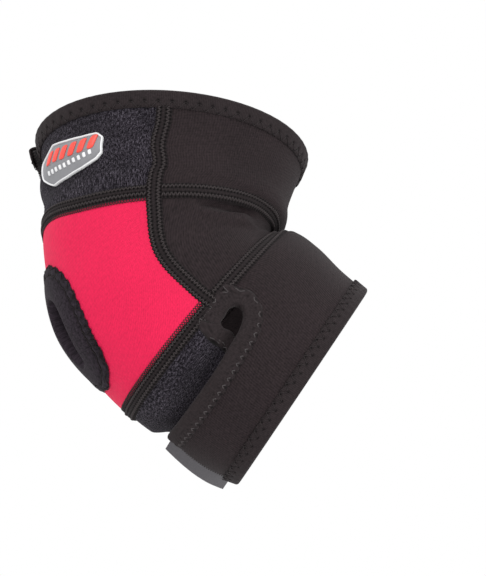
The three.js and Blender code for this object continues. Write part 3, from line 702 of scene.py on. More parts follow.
def finish(name):
    """The material of that name, made once from the settings."""
    if name in _finishes:
        return _finishes[name]
    cloth = bpy.context.scene.brace_cloth
    sewing = bpy.context.scene.brace_sewing
    badge = bpy.context.scene.brace_badge
    wale = cloth.wale
    made = {
        "smooth": lambda: knit("smooth_knit", cloth.smooth, wale, 1.5 * MM),
        "crook": lambda: knit("crook_knit", cloth.smooth, wale, 1.5 * MM, 0.5),
        "strap": lambda: knit("strap_knit", cloth.smooth, wale, 1.4 * MM, 0.15),
        "red": lambda: knit("red_knit", cloth.red, 1.0 * MM, 1.4 * MM, 0.8, 0.16, 0.4, 0.75, 0.15),
        "lining": lambda: knit("lining_knit", shade(cloth.smooth, 0.8), 0.8 * MM, 0.9 * MM),
        "loop_up": lambda: plush("loop_pile", cloth.pile_depth_shade, cloth.pile_sheen, False),
        "loop_round": lambda: plush("loop_pile_turned", cloth.pile_depth_shade, cloth.pile_sheen, True,
                                    fine=1.4),
        "foam": lambda: foam("cut_foam", cloth.foam),
        "tape": lambda: webbing("binding_tape", sewing.tape, 0.75 * MM),
        "slot": lambda: webbing("slot_binding_tape", sewing.tape, 0.8 * MM, 0.5, ribbed=0.09),
        "band": lambda: webbing("band_cloth", sewing.band, 0.9 * MM, 0.95, 0.08, True, 950.0, 0.05),
        "seam": lambda: webbing("seam_ground", sewing.seam, 0.6 * MM, 0.5),
        "thread": lambda: yarn("sewing_thread", sewing.thread),
        "dull_thread": lambda: yarn("tape_thread", sewing.tape),
        "light_thread": lambda: yarn("dusty_thread", sewing.light_thread),
        "tab": lambda: webbing("hook_backing", sewing.tab, 0.5 * MM, 0.12, 0.2, False),
        "plate": lambda: rubber("badge_rubber", badge.plate),
        "frame": lambda: rubber("badge_border", badge.border, 0.35),
        "mark": lambda: rubber("badge_studs", badge.studs, 0.35),
    }[name]()
    _finishes[name] = made
    return made


# Cloth panels

def puffed(distance, depth=0.45 * MM, width=2.2 * MM):
    """Dip of the cloth beside a seam: a bell of the distance from it."""
    return -depth * bell(distance, 0, width)


def waver(s, a, seed):
    """Slight unevenness of the cloth: a few long sine waves of seeded phases."""
    rng = np.random.default_rng(seed)
    total = np.zeros(np.shape(s))
    for _ in range(6):
        fs, fa = rng.uniform(2, 9), rng.uniform(0.04, 0.16)
        total += np.sin(fs * s + fa * a * rng.choice([-1, 1]) + rng.uniform(0, 6.3))
    return 0.06 * MM * total


def cloth_piece(name, node, keep, s, a, high, low, uv, cover, slot):
    """Shell between the heights high and low over the grid; its flat width and length are worked out
    from the lengths of its lines both ways and then left unused."""
    outer, inner = raised(s, a, high), raised(s, a, low)
    points, quads, kind, source = shell(keep, outer, inner)
    obj = piece(name, points, quads, (cover, "lining", "foam"), slot, node, kind,
                uv.reshape(-1, 2)[source])
    middle = (outer + inner) / 2
    e1, e2 = np.diff(middle, axis=0)[:, :-1], np.diff(middle, axis=1)[:-1]
    area = float((np.linalg.norm(np.cross(e1, e2), axis=-1) * keep).sum())
    width = float(np.median(np.linalg.norm(e2, axis=-1).sum(1)))
    length = float(np.median(np.linalg.norm(e1, axis=-1).sum(0)))
    width = max(width, area / length)


def limb_panel(limb_name, strap):
    """Panel of a limb over reach and angle: the cells of a grid inside its outline, the outline being the
    strap line and the seams, and the points on the edge moved onto it."""
    limb = LIMBS[limb_name]
    turn = limb["turn"]
    reach = np.linspace(SEAM_ROOM, 1, int(LIMB_RUN / GRID_STEP))[:, None]
    near, far = SIDE_SEAM + SIDE_ROOM, 360 - SIDE_SEAM - SIDE_ROOM
    if strap:
        start, stop = end_angle(limb, reach), far
        _, r, t = strap_line(limb, 0, SLOT_TOP)
        border = np.concatenate([np.stack([r, t], -1), [(SEAM_ROOM, near), (SEAM_ROOM, stop)]])
        low_edge = np.array([(1, stop), (1, limb["tip"])])
    else:
        start, stop = SIDE_ROOM - SIDE_SEAM + 0 * reach, SIDE_SEAM - SIDE_ROOM
        _, r, t = strap_line(limb, SLOT_TOP, len(STRAP_LINE) - 1)
        border = np.concatenate([[(SEAM_ROOM, -stop), (SEAM_ROOM, stop)], np.stack([r, t], -1)])
        low_edge = np.array([(1, -stop)])
    columns = int((stop - np.min(start)) * DEGREE_RUN / GRID_STEP)
    a = start + (stop - start) * np.linspace(0, 1, columns)[None, :]
    r = np.broadcast_to(reach, a.shape)
    scale = np.array([LIMB_RUN, DEGREE_RUN])
    outline = np.concatenate([border, low_edge]) * scale
    keep = inside(outline, cell_middle(r) * LIMB_RUN, cell_middle(a) * DEGREE_RUN)
    x, y = snap(keep, r * LIMB_RUN, a * DEGREE_RUN, border * scale)
    r, a = x / LIMB_RUN, y / DEGREE_RUN
    height = strap_height(limb, r, a) if strap else loop_height(limb, r, a)
    s = station_of(limb, r)
    if strap:
        side = np.minimum(abs(a - SIDE_SEAM), abs(a - (360 - SIDE_SEAM)))
        side = np.where((r > STRAP_FREE) & (a < RISE_FADE[0]), np.inf, side)
    else:
        side = SIDE_SEAM - abs(a)
    dip = puffed(r * LIMB_RUN) + puffed(side * DEGREE_RUN) + waver(s, turn * a, 3 + strap)
    if strap:
        end = (a - end_angle(limb, r)) * DEGREE_RUN
        dip = dip + puffed(end + GAP, 0.5 * MM, 1.1 * MM)
    uv = np.stack([a * DEGREE_RUN, r * LIMB_RUN], -1)
    return keep, s, turn * a, height + dip, height - WALL, uv


def crook_fold(s, a, span):
    """Crease under the upper seam with a ridge below it: two bells of the distance from the seam's line,
    faded out towards both ends."""
    turned = 180 - np.abs(a - 180)
    below = (s - UPPER_SEAM) * span
    amount = ease((turned - 94) / 14) * ease((140 - turned) / 14)
    return amount * (RIDGE_HEIGHT * bell(below, RIDGE_AT, RIDGE_WIDTH)
                     - CREASE_DEPTH * bell(below, CREASE_AT, CREASE_WIDTH))


class BRACE_OT_panels(bpy.types.Operator):
    """Six cloth panels: front panels that run on as straps, loop panels, elbow panel and crook panel"""

    bl_idname = "brace.panels"
    bl_label = "Cloth panels"

    def execute(self, context):
        """Each panel is a grid over station and angle, raised by its height above the sleeve's face."""
        for limb, front, back in (("upper", "smooth", "loop_up"), ("forearm", "strap", "loop_round")):
            cloth_piece(f"{limb}_front_cloth", f"{limb}_front_panel", *limb_panel(limb, True),
                        front, "smooth_cloth")
            cloth_piece(f"{limb}_loop_cloth", f"{limb}_loop_panel", *limb_panel(limb, False),
                        back, "loop_cloth")
        first, last = UPPER_SEAM + SEAM_ROOM, LOWER_SEAM - SEAM_ROOM
        near, far = SIDE_SEAM + SIDE_ROOM, 360 - SIDE_SEAM - SIDE_ROOM
        s, a = np.meshgrid(np.linspace(first, last, 52), np.linspace(near, far, 210), indexing="ij")
        span = np.linalg.norm(slopes(skin, s, a)[0], axis=-1)
        ends = np.minimum(s - first, last - s) * span
        sides = np.minimum(a - SIDE_SEAM, 360 - SIDE_SEAM - a) * CROOK_DEGREE_RUN
        dip = puffed(ends, 0.4 * MM, 1.8 * MM) * ease(span / (12 * MM)) + puffed(sides) + waver(s, a, 8)
        fold = crook_fold(s, a, span)
        uv = np.stack([a * CROOK_DEGREE_RUN, (s - first) * CROOK_RUN], -1)
        cloth_piece("crook_cloth", "crook_panel", np.ones((51, 209), bool), s, a, dip + fold, fold - WALL,
                    uv, "crook", "smooth_cloth")
        side = SIDE_SEAM - SIDE_ROOM
        s, a = np.meshgrid(np.linspace(first, last, 96), np.linspace(-side, side, 168), indexing="ij")
        down, round_by = ELBOW_RUNS
        oval = np.stack(hole_line(181), -1) * ELBOW_RUNS
        keep = ~inside(oval[:-1], cell_middle(s) * down, cell_middle(a) * round_by)
        x, y = snap(keep, s * down, a * round_by, oval)
        s, a = x / down, y / round_by
        dip = puffed(np.minimum(s - first, last - s) * down) + puffed((SIDE_SEAM - abs(a)) * round_by)
        dip = dip + waver(s, a, 12)
        cloth_piece("elbow_cloth", "elbow_panel", keep, s, a, dip, dip * 0 - WALL, np.stack([y, x], -1),
                    "red", "red_cloth")
        return {"FINISHED"}


def hole_line(n):
    """Oval opening: half its length in stations times the cosine and half its width in degrees times the
    sine of an angle that goes once round, drawn in on the near side below the middle by a bell of that
    angle and let out above it by another."""
    theta = np.linspace(0, 2 * np.pi, n)
    at = (np.array(HOLE_STATION), np.array(HOLE_ANGLE))
    share = 1.0
    for height, middle, spread in ((-0.26, 0.95, 0.6), (0.1, 2.3, 0.5)):
        share = share + height * bell(theta, middle, spread)
    share[-1] = share[0]
    return (HOLE_STATION + stations_for(HOLE_LENGTH / 2, *at) * np.cos(theta),
            HOLE_ANGLE + degrees_for(HOLE_WIDTH / 2, *at) * np.sin(theta) * share)


# Tapes

def folded(width, thickness, inner_width, k=16, roll=10):
    """Section of a tape folded over the cloth's edge, as across and height: along its outer face from the
    inner edge, round the cloth's edge in half an ellipse, and along the underside; then back inside it."""
    t = np.linspace(0, 1, k)
    half = WALL / 2 + GAP
    turn = np.linspace(0, np.pi, roll + 2)[1:-1]

    def path(offset):
        top = np.stack([width * (1 - t), np.full(k, GAP + offset)], -1)
        bend = np.stack([-(GAP + offset + 0.35 * MM) * np.sin(turn),
                         -WALL / 2 + (half + offset) * np.cos(turn)], -1)
        under = np.stack([inner_width * t, np.full(k, -WALL - GAP - offset)], -1)
        return np.concatenate([top, bend, under])
    return path(thickness), path(0.02 * MM)


def pressed_level(across, width, rise):
    """Height of a tape's face: its rise above the gap, pressed down to a share of it at the inner edge."""
    press = PRESSED + (1 - PRESSED) * ease((width - across) / PRESS_RUN)
    return GAP - SEAT + (rise + SEAT) * press


def bind(name, node, edge, section, ripple, edge_wave, dent, shown, cover):
    """Tape folded over an edge, in place of a node. section: its width, thickness and width below;
    ripple(across, y): change of the outer height; edge_wave(y): change of the width along the edge;
    dent(across, y): needle holes, told to the material as painted shade in them, times shown."""
    width = section[0]
    outer, inner = folded(*section)
    y = edge.y[:, None]
    across = np.broadcast_to(outer[:, 0], (len(edge.y), len(outer))).copy()
    height = np.broadcast_to(outer[:, 1], across.shape).copy()
    top = outer[:, 1] > 0
    across = np.where((across > 0) & top, across + edge_wave(y) * (across / width) ** 3, across)
    height = np.where(top, pressed_level(across, width, height - GAP), height)
    height = height + np.where(top, ripple(across, y), 0)
    back = np.broadcast_to(inner[::-1], (len(edge.y),) + inner.shape)
    below = np.minimum(back[..., 1], height[:, ::-1] - 0.05 * MM)
    inner_height = np.where(back[..., 1] > 0, below, back[..., 1])
    rings = edge.place(np.concatenate([across, back[..., 0]], 1), np.concatenate([height, inner_height], 1))
    flat = np.concatenate([outer[:, 0], inner[::-1, 0]])[None]
    tall = np.concatenate([outer[:, 1], inner[::-1, 1]]) > 0
    # painted shade in the needle holes of the tape's outer face
    hole_shade = np.clip(shown * dent(flat, y), 0, 1) * tall
    uv = np.stack(np.broadcast_arrays(y, flat), -1)
    piece(name, rings, swept(rings, edge.closed), (cover,), "binding", node, uv=uv, hole_shade=hole_shade)


def joined(name, parts, cover, slot="seam_thread"):
    """Closed parts, such as threads, as one piece; the seam's cloth material needs a uv and a painted hole
    shade, given as zeros.
    """
    points, quads = join(parts)
    extra = dict(uv=np.zeros((len(points), 2)), hole_shade=np.zeros(len(points))) if cover == "seam" else {}
    piece(name, points, quads, (cover,), slot, **extra)


def holes(across, y, at, pitch, phase=0.0, radius=0.5 * MM):
    """1 at needle holes, a pitch apart on the line at, falling off as a bell."""
    d = (np.mod(y / pitch + phase + 0.5, 1) - 0.5) * pitch
    return np.exp(-(((across - at) ** 2 + d**2) / radius**2))


def limb_edge(limb, step):
    """Line along the sleeve's edge, from beside the strap's end round the back, over the front and on
    along the strap to its end."""
    tip = np.array(limb["turn"] * limb["tip"])
    room = float(degrees_for(1.2 * MM, np.array(limb["edge"]), tip))
    angle = np.linspace(limb["tip"] - room, limb["tip"] - 360 - room / 2, 500)
    s, a, y = even(np.full(500, limb["edge"]), limb["turn"] * angle, step)
    strap = (limb["turn"] * a < -SIDE_SEAM)[:, None]

    def lift(station, place):
        reach, turned = reach_of(limb, station), limb["turn"] * place
        return np.where(strap, strap_height(limb, reach, turned + 360), loop_height(limb, reach, turned))
    return Edge(s, a, y, lift)


def slot_edge(limb, step):
    """Line along the strap's edge, round the slot and down the edge of the cloth below."""
    t, reach, angle = strap_line(limb, 0, TAPE_LAST, 40)
    s, a, y = even(station_of(limb, reach), limb["turn"] * angle, step)
    row = np.interp(y, lengths(station_of(limb, reach), limb["turn"] * angle), t)
    on_strap = (row < SLOT_TOP)[:, None]

    def lift(station, place):
        r, turned = reach_of(limb, station), limb["turn"] * place
        return np.where(on_strap, strap_height(limb, r, turned), loop_height(limb, r, turned))
    return Edge(s, a, y, lift)


def line_length(limb, first, last):
    """Length of the strap line between two of its rows."""
    _, reach, angle = strap_line(limb, first, last, 40)
    return lengths(station_of(limb, reach), limb["turn"] * angle)[-1]


class BRACE_OT_edge_tapes(bpy.types.Operator):
    """Binding tapes folded over the rim and the hem, each sewn down with a zigzag"""

    bl_idname = "brace.edge_tapes"
    bl_label = "Rim and hem tapes"

    def execute(self, context):
        """A folded section carried along the sleeve's edge; the zigzag is a rounded triangle wave."""
        sewing = context.scene.brace_sewing
        for limb_name, node, width, pitch, hole_at, hole, low_hole in (
                ("upper", "rim_tape", RIM_TAPE_WIDTH, sewing.rim_pitch, 0.56, 0.68 * MM, 0.35),
                ("forearm", "hem_tape", HEM_TAPE_WIDTH, sewing.hem_pitch, 0.55, 0.5 * MM, 1.3)):
            edge = limb_edge(LIMBS[limb_name], 0.42 * MM)
            at = hole_at * width

            def dent(x, y):
                return (holes(x, y, at, pitch, 0.25, hole)
                        + low_hole * holes(x, y, 0.95 * width, pitch, 0.75, 0.55 * MM))

            def ripple(x, y):
                return (-0.6 * MM * dent(x, y) - 0.18 * MM * bell(x, 0.8 * width, 0.9 * MM)
                        + 0.05 * MM * np.sin(2 * np.pi * y / (pitch * 0.9)))

            def scallop(y):
                return 0.2 * MM * np.sin(2 * np.pi * (y / pitch + 0.25))

            bind(f"{node}_binding", node, edge, (width, TAPE, width), ripple, scallop, dent, 1.2, "tape")
            fine = limb_edge(LIMBS[limb_name], pitch / 14)
            x = zigzag(fine.y, pitch, at, 1.01 * width)
            h = GAP + TAPE - 0.07 * MM - 0.5 * MM * ease((at + 0.5 * MM - x) / (0.5 * MM))
            h -= 0.3 * MM * ease((x - 0.9 * width) / (0.12 * width))
            joined(f"{node}_stitches", [fine.sewn(x, h, sewing.thread_radius * 0.8)], "dull_thread")
        return {"FINISHED"}


class BRACE_OT_slot_tapes(bpy.types.Operator):
    """Tapes folded over the edge of each strap and of the slot at its root, with their stitches"""

    bl_idname = "brace.slot_tapes"
    bl_label = "Strap and slot tapes"

    def execute(self, context):
        """A section turned down over the edge, carried along the strap line; stitches as zigzag threads."""
        sewing = context.scene.brace_sewing
        width, pitch = SLOT_TAPE_WIDTH, sewing.slot_pitch
        for limb_name in LIMBS:
            limb = LIMBS[limb_name]
            edge = slot_edge(limb, 0.36 * MM)
            light_row, dark_row = 0.7 * width, 0.97 * width
            top_at = edge.y[-1] - line_length(limb, SLOT_TOP, TAPE_LAST)
            ring_at = line_length(limb, 0, RING_ROW)

            def rough(y):
                return ease((y - top_at) / (5 * MM))

            def dent(x, y):
                return (holes(x, y, dark_row, pitch, 0.25, 0.55 * MM)
                        + 0.6 * holes(x, y, light_row - 0.9 * MM, pitch, 0.75, 0.35 * MM))

            def ripple(x, y):
                rope = np.sin(2 * np.pi * (y - 0.8 * x) / (2.3 * MM)) * bell(x, 0.75 * width, 1.3 * MM)
                return (-0.5 * MM * dent(x, y) - 0.25 * MM * bell(x, 0.85 * width, 0.8 * MM)
                        - 0.28 * MM * bell(x, 0.42 * width, 0.5 * MM) * (1 - rough(y))
                        + 0.22 * MM * rough(y) * rope)

            def scallop(y):
                return 0.2 * MM * np.sin(2 * np.pi * y / pitch) - 0.9 * MM * rough(y)

            bind(f"{limb_name}_slot_binding", f"{limb_name}_slot_tape", edge, (width, TAPE, 0.6 * width),
                 ripple, scallop, dent, 1.2, "slot")
            fine = slot_edge(limb, pitch / 12)
            x = zigzag(fine.y, pitch, light_row, dark_row)
            sunk = 0.6 * ease((x - light_row - 0.55 * MM) / (0.5 * MM))
            round_slot = 0.02 + 0.14 * ease((fine.y - ring_at) / (4 * MM))
            h = pressed_level(x, width, TAPE) - (round_slot + sunk) * MM
            joined(f"{limb_name}_slot_stitches", [fine.sewn(x, h, sewing.thread_radius * 1.15)],
                     "light_thread")
        return {"FINISHED"}


class BRACE_OT_elbow_band(bpy.types.Operator):
    """Wide soft band folded over the elbow opening, with its toothed overlock edge"""

    bl_idname = "brace.elbow_band"
    bl_label = "Elbow opening band"

    def execute(self, context):
        """A folded section carried round the oval; its width and the edge thread follow a triangle wave."""
        sewing = context.scene.brace_sewing
        around = hole_line(721)
        s, a, y = even(*around, 0.4 * MM)
        pitch = y[-1] / round(y[-1] / sewing.tooth_pitch)
        edge = Edge(s[:-1], a[:-1], y[:-1], closed=True)
        width = HOLE_BAND_WIDTH
        groove = 0.72 * width

        def dash(x, y):
            return (holes(x, y, groove, pitch, 0.0, 0.62 * MM)
                    + holes(x, y, 0.9 * width, pitch, 0.25, 0.5 * MM))

        def ripple(x, y):
            return (-0.35 * MM * dash(x, y) - 0.5 * MM * bell(x, groove, 0.6 * MM)
                    + 0.25 * MM * np.sin(np.clip(x / groove, 0, 1) * np.pi))

        def teeth(y):
            return 1.15 * MM * np.abs(2 * np.mod(y / pitch, 1) - 1) - 0.5 * MM

        bind("elbow_opening_band", "elbow_hole_band", edge, (width, BAND_THICKNESS, BAND_INNER_WIDTH),
             ripple, teeth, dash, 1.4, "band")
        s, a, y = even(*around, pitch / 14)
        fine = Edge(s[:-1], a[:-1], y[:-1], closed=True)
        parts = []
        for low, high, level, phase in ((0.86, 1.05, 0.85 * MM, 0.0), (0.68, 0.76, 0.75 * MM, 0.3)):
            x = zigzag(fine.y, pitch, low * width, high * width, phase)
            h = GAP + level - 0.6 * MM * ease((x - 0.93 * width) / (0.1 * width))
            parts.append(fine.sewn(x, h, sewing.thread_radius * 1.15))
        joined("elbow_band_stitches", parts, "seam")
        return {"FINISHED"}


# Seams

# degrees that a seam round the sleeve stops short of the side seams
SHORT_OF = 3.6
# node: line, from, to, whether it goes round the sleeve, and on which side the red cloth shows through
SEAMS = {
    "near_side_seam": (SIDE_SEAM, 0.17, LOWER_SEAM + 0.02, False, 0),
    "far_side_seam": (-SIDE_SEAM, UPPER_SEAM - 0.02, HEM - 0.15, False, 0),
    "upper_crook_seam": (UPPER_SEAM, SIDE_SEAM + SHORT_OF, 360 - SIDE_SEAM - SHORT_OF, True, 0),
    "upper_elbow_seam": (UPPER_SEAM, -SIDE_SEAM + SHORT_OF, SIDE_SEAM - SHORT_OF, True, 1),
    "near_lower_crook_seam": (LOWER_SEAM, SIDE_SEAM + SHORT_OF, 176, True, 0),
    "far_lower_crook_seam": (LOWER_SEAM, 184, 360 - SIDE_SEAM - SHORT_OF, True, 0),
    "lower_elbow_seam": (LOWER_SEAM, -SIDE_SEAM + SHORT_OF, SIDE_SEAM - SHORT_OF, True, -1),
}


class Seam:
    """Line of a seam, with across measured down the sleeve where it goes round, else round the sleeve.
    Near the front the seam is narrowed to a share of the cloth between the two round seams."""

    def __init__(self, at, first, last, goes_round, step):
        line = np.linspace(first, last, 400)
        fixed = np.full(400, float(at))
        s, a = (fixed, line) if goes_round else (line, fixed)
        self.s, self.a, self.y = even(s, a, step)
        self.goes_round = goes_round
        middle = np.full(len(self.a), (UPPER_SEAM + LOWER_SEAM) / 2)
        cloth = (LOWER_SEAM - UPPER_SEAM) * np.linalg.norm(slopes(skin, middle, self.a)[0], axis=-1)
        narrow = CROOK_SHARE * cloth / (SEAM_WIDTH / 2)
        self.squeeze = np.minimum(1, narrow) if goes_round else np.ones(len(self.a))
        self.up = outward(skin, self.s, self.a)

    def place(self, across, height):
        across = across * self.squeeze[:, None]
        s, a = np.broadcast_arrays(self.s[:, None], self.a[:, None], across)[:2]
        if self.goes_round:
            return raised(walk(across, s, a), a, height)
        return raised(s, a + degrees_for(across, s, a), height)

    def sewn(self, x, h, radius, sides=6):
        points = self.place(x[:, None], h[:, None])[:, 0]
        rings = thread(points, self.up, radius * (0.4 + 0.6 * self.squeeze), sides)
        return rings, swept(rings)


class BRACE_OT_seams(bpy.types.Operator):
    """Flatlock seams: a low ground with needle columns, and the zigzag threads across it"""

    bl_idname = "brace.seams"
    bl_label = "Flatlock seams"

    def execute(self, context):
        """The ground is a low dome along the seam with needle holes in four columns, dented and given
        painted shade; each thread follows a triangle wave between two columns, and a chain of eyelets edges
        the red cloth."""
        sewing = context.scene.brace_sewing
        pitch, half = sewing.seam_pitch, SEAM_WIDTH / 2
        for node, (at, first, last, goes_round, red) in SEAMS.items():
            line = Seam(at, first, last, goes_round, 0.34 * MM)
            low = -1 if red != -1 else -RED_EDGE
            high = 1 if red != 1 else RED_EDGE

            def fit(share):
                return low + (share + 1) / 2 * (high - low)

            x = fit(np.linspace(-1, 1, 26))
            y = line.y[:, None]
            across = x * half + 0.18 * MM * zigzag(y, pitch, -1, 1) * np.sign(x) * np.abs(x) ** 4
            dome = GAP + SEAM_RISE * (1 - np.abs((2 * x - low - high) / (high - low)) ** 5) - SEAT
            dent = sum(holes(across, y, fit(c) * half, pitch, 0.5 * i, 0.42 * MM)
                       for i, c in enumerate(HOLE_COLUMNS))
            both = np.concatenate([across, across[:, ::-1]], 1)
            under = np.full(across.shape, -0.45 * MM)
            rings = line.place(both, np.concatenate([dome - 0.4 * MM * dent, under], 1))
            uv = np.stack(np.broadcast_arrays(y, both), -1)
            # painted shade in the needle holes, on the ground's top face only
            hole_shade = np.concatenate([np.clip(1.7 * dent, 0, 1), np.zeros(dent.shape)], 1)
            piece(f"{node}_ground", rings, swept(rings), ("seam",), "seam_thread", node, uv=uv, hole_shade=hole_shade)
            fine = Seam(at, first, last, goes_round, pitch / 10)
            parts = []
            for phase, left, right, size, sunk in SEAM_THREADS:
                wave = zigzag(fine.y, pitch, fit(left) * half, fit(right) * half, phase)
                rise = 1 - np.abs(2 * (wave / half - low) / (high - low) - 1) ** 5
                turn = np.abs(2 * (wave / half - fit(left)) / (fit(right) - fit(left)) - 1) ** 3
                h = GAP - SEAT + SEAM_RISE * rise + 0.05 * MM - sunk - 0.55 * MM * turn
                parts.append(fine.sewn(wave, h, sewing.thread_radius * size, 5))
            if red:
                chain = []
                h = np.full(len(fine.y), 0.16 * MM)
                for phase in (0.0, 0.5):
                    wave = red * zigzag(fine.y, sewing.chain_pitch, 0.64 * half, 1.12 * half, phase)
                    chain.append(fine.sewn(wave, h, sewing.thread_radius * 0.95, 5))
                joined(f"{node}_eyelets", chain, "dull_thread")
            joined(f"{node}_threads", parts, "thread")
        return {"FINISHED"}


# Strap ends and badge

def strap_end_line(limb, step):
    """Line down the end of a strap, from its inner edge to the sleeve's edge."""
    reach = np.linspace(STRAP_FREE, 1.005, 200)
    return even(station_of(limb, reach), limb["turn"] * end_angle(limb, reach), step)


class BRACE_OT_strap_ends(bpy.types.Operator):
    """Overcast threads round the end of each strap, and the hook tab under the forearm strap"""

    bl_idname = "brace.strap_ends"
    bl_label = "Strap ends and hook tab"

    def execute(self, context):
        """Each overcast stitch goes once round the cut edge: a helix squashed to the strap's thickness."""
        sewing = context.scene.brace_sewing
        for limb_name, limb in LIMBS.items():
            s, a, y = strap_end_line(limb, OVERCAST_PITCH / 12)
            turned = limb["turn"] * a
            base = strap_height(limb, reach_of(limb, s), turned)
            w = 2 * np.pi * y / OVERCAST_PITCH
            inward = limb["turn"] * degrees_for(0.9 * MM, s, a)
            swing = 0.45 + 0.95 * np.cos(w)
            height = base - WALL / 2 - 0.1 * MM + (WALL / 2 + 0.22 * MM) * np.sin(w)
            points = raised(s, a + inward * swing, height)
            rings = thread(points, outward(skin, s, a), sewing.thread_radius * 1.1, 5)
            piece(f"{limb_name}_strap_overcast", rings, swept(rings), ("thread",), "seam_thread")
        limb = LIMBS["forearm"]
        reach = np.linspace(*TAB_REACH, 60)[:, None]
        flat_from = end_angle(limb, reach) + TAB_STIFF
        near = flat_from + (TAB_UNDER - flat_from) * np.linspace(1, 0, 30)[None, :]
        run = np.linspace(0, 1, 26)[None, 1:]
        beyond = degrees_for(1 * MM, np.array(limb["edge"]), np.array(0.0)) / MM
        share = (reach - TAB_REACH[0]) / (TAB_REACH[1] - TAB_REACH[0])
        longer = TAB_OVERHANG[1] - TAB_OVERHANG[0] + TAB_LONGER
        overhang = TAB_OVERHANG[0] + longer * share - TAB_HOLLOW * share * (1 - share)
        faces = []
        for thick in (1.0, 0.0):
            height = GAP + 0.1 * MM + thick * TAB_THICKNESS

            def lie(angle):
                return raised(station_of(limb, reach), limb["turn"] * angle,
                              height + loop_height(limb, reach, angle))
            edge = lie(flat_from)
            ahead = unit(lie(flat_from - 1) - edge)
            away = run * (TAB_STIFF / beyond + overhang)
            flare = TAB_FLARE * share * fade(away, *FLARE_FADE)
            down = unit(slopes(skin, station_of(limb, reach), limb["turn"] * flat_from)[0])
            out = edge + ahead * away[..., None] + down * flare[..., None]
            faces.append(np.concatenate([lie(near), out], 1))
        outer, inner = faces
        keep = np.ones((outer.shape[0] - 1, outer.shape[1] - 1), bool)
        points, quads, _, source = shell(keep, outer, inner)
        columns = outer.shape[1]
        uv = np.stack([(source % columns) * 0.6 * MM, (source // columns) * 0.5 * MM], -1)
        piece("hook_tab_tape", points, quads, ("tab",), "hook_tape", "hook_tab", uv=uv, smooth=False)
        return {"FINISHED"}


PLATE_SCALE = np.array([28 * MM, 0.93 * MM])


def badge_outline(n=240):
    """Outline of the badge in metres (down, round): straight between the corners of the plate's table,
    each corner rounded by the mean of the line over a short run to both sides of it."""
    corners = np.concatenate([PLATE[:, [1, 0]], PLATE[::-1][:, [2, 0]]]) * PLATE_SCALE
    corners = np.concatenate([corners, corners[:1]])
    far = np.concatenate([[0], np.cumsum(np.linalg.norm(np.diff(corners, axis=0), axis=1))])
    at = np.linspace(0, far[-1], n, endpoint=False)
    line = np.stack([np.interp(at, far, corners[:, 0]), np.interp(at, far, corners[:, 1])], -1)
    line = sum(np.roll(line, k, 0) for k in range(-2, 3)) / 5
    run = np.roll(line, -1, 0) - np.roll(line, 1, 0)
    side = np.stack([run[:, 1], -run[:, 0]], -1) / np.linalg.norm(run, axis=1, keepdims=True)
    inward = np.sign((side * (line.mean(0) - line)).sum(1).mean())
    return line, side * inward


def laid(flat, height):
    """Place on the sleeve of badge metres (down, round) at a height."""
    s, a = flat[..., 0] / PLATE_SCALE[0], flat[..., 1] / PLATE_SCALE[1]
    return raised(s, a, np.broadcast_to(height, flat.shape[:-1]))


def badge_row(share, angle):
    """Place on the badge at an angle, a share of the way from its upper to its lower edge, and the way
    that the row runs on from there."""
    places = [np.array([(1 - share) * np.interp(at, PLATE[:, 0], PLATE[:, 1])
                        + share * np.interp(at, PLATE[:, 0], PLATE[:, 2]), at]) * PLATE_SCALE
              for at in (angle, angle + 1.0)]
    return places[0], unit(places[1] - places[0])


def stud(middle, along_way, across_way, half_long, half_wide, base, rise, n=12):
    """Low rounded block: rings of a superellipse that draw in as they rise, on axes along and across."""
    phi = 2 * np.pi * np.arange(n) / n
    c, s = (np.sign(v) * np.abs(v) ** 0.45 for v in (np.cos(phi), np.sin(phi)))
    ring = c[:, None] * half_long * along_way + s[:, None] * half_wide * across_way
    shares = np.array([1.0, 1.0, 0.93, 0.75, 0.02])
    heights = base + rise * np.array([-0.5, 0.55, 0.85, 1.0, 1.02])
    flat = middle + ring[None] * shares[:, None, None]
    rings = laid(flat, heights[:, None])
    floor = laid(middle + ring[None] * 0.02, np.full((1, n), base - 0.5 * rise))
    rings = np.concatenate([floor, rings])
    return rings, swept(rings)


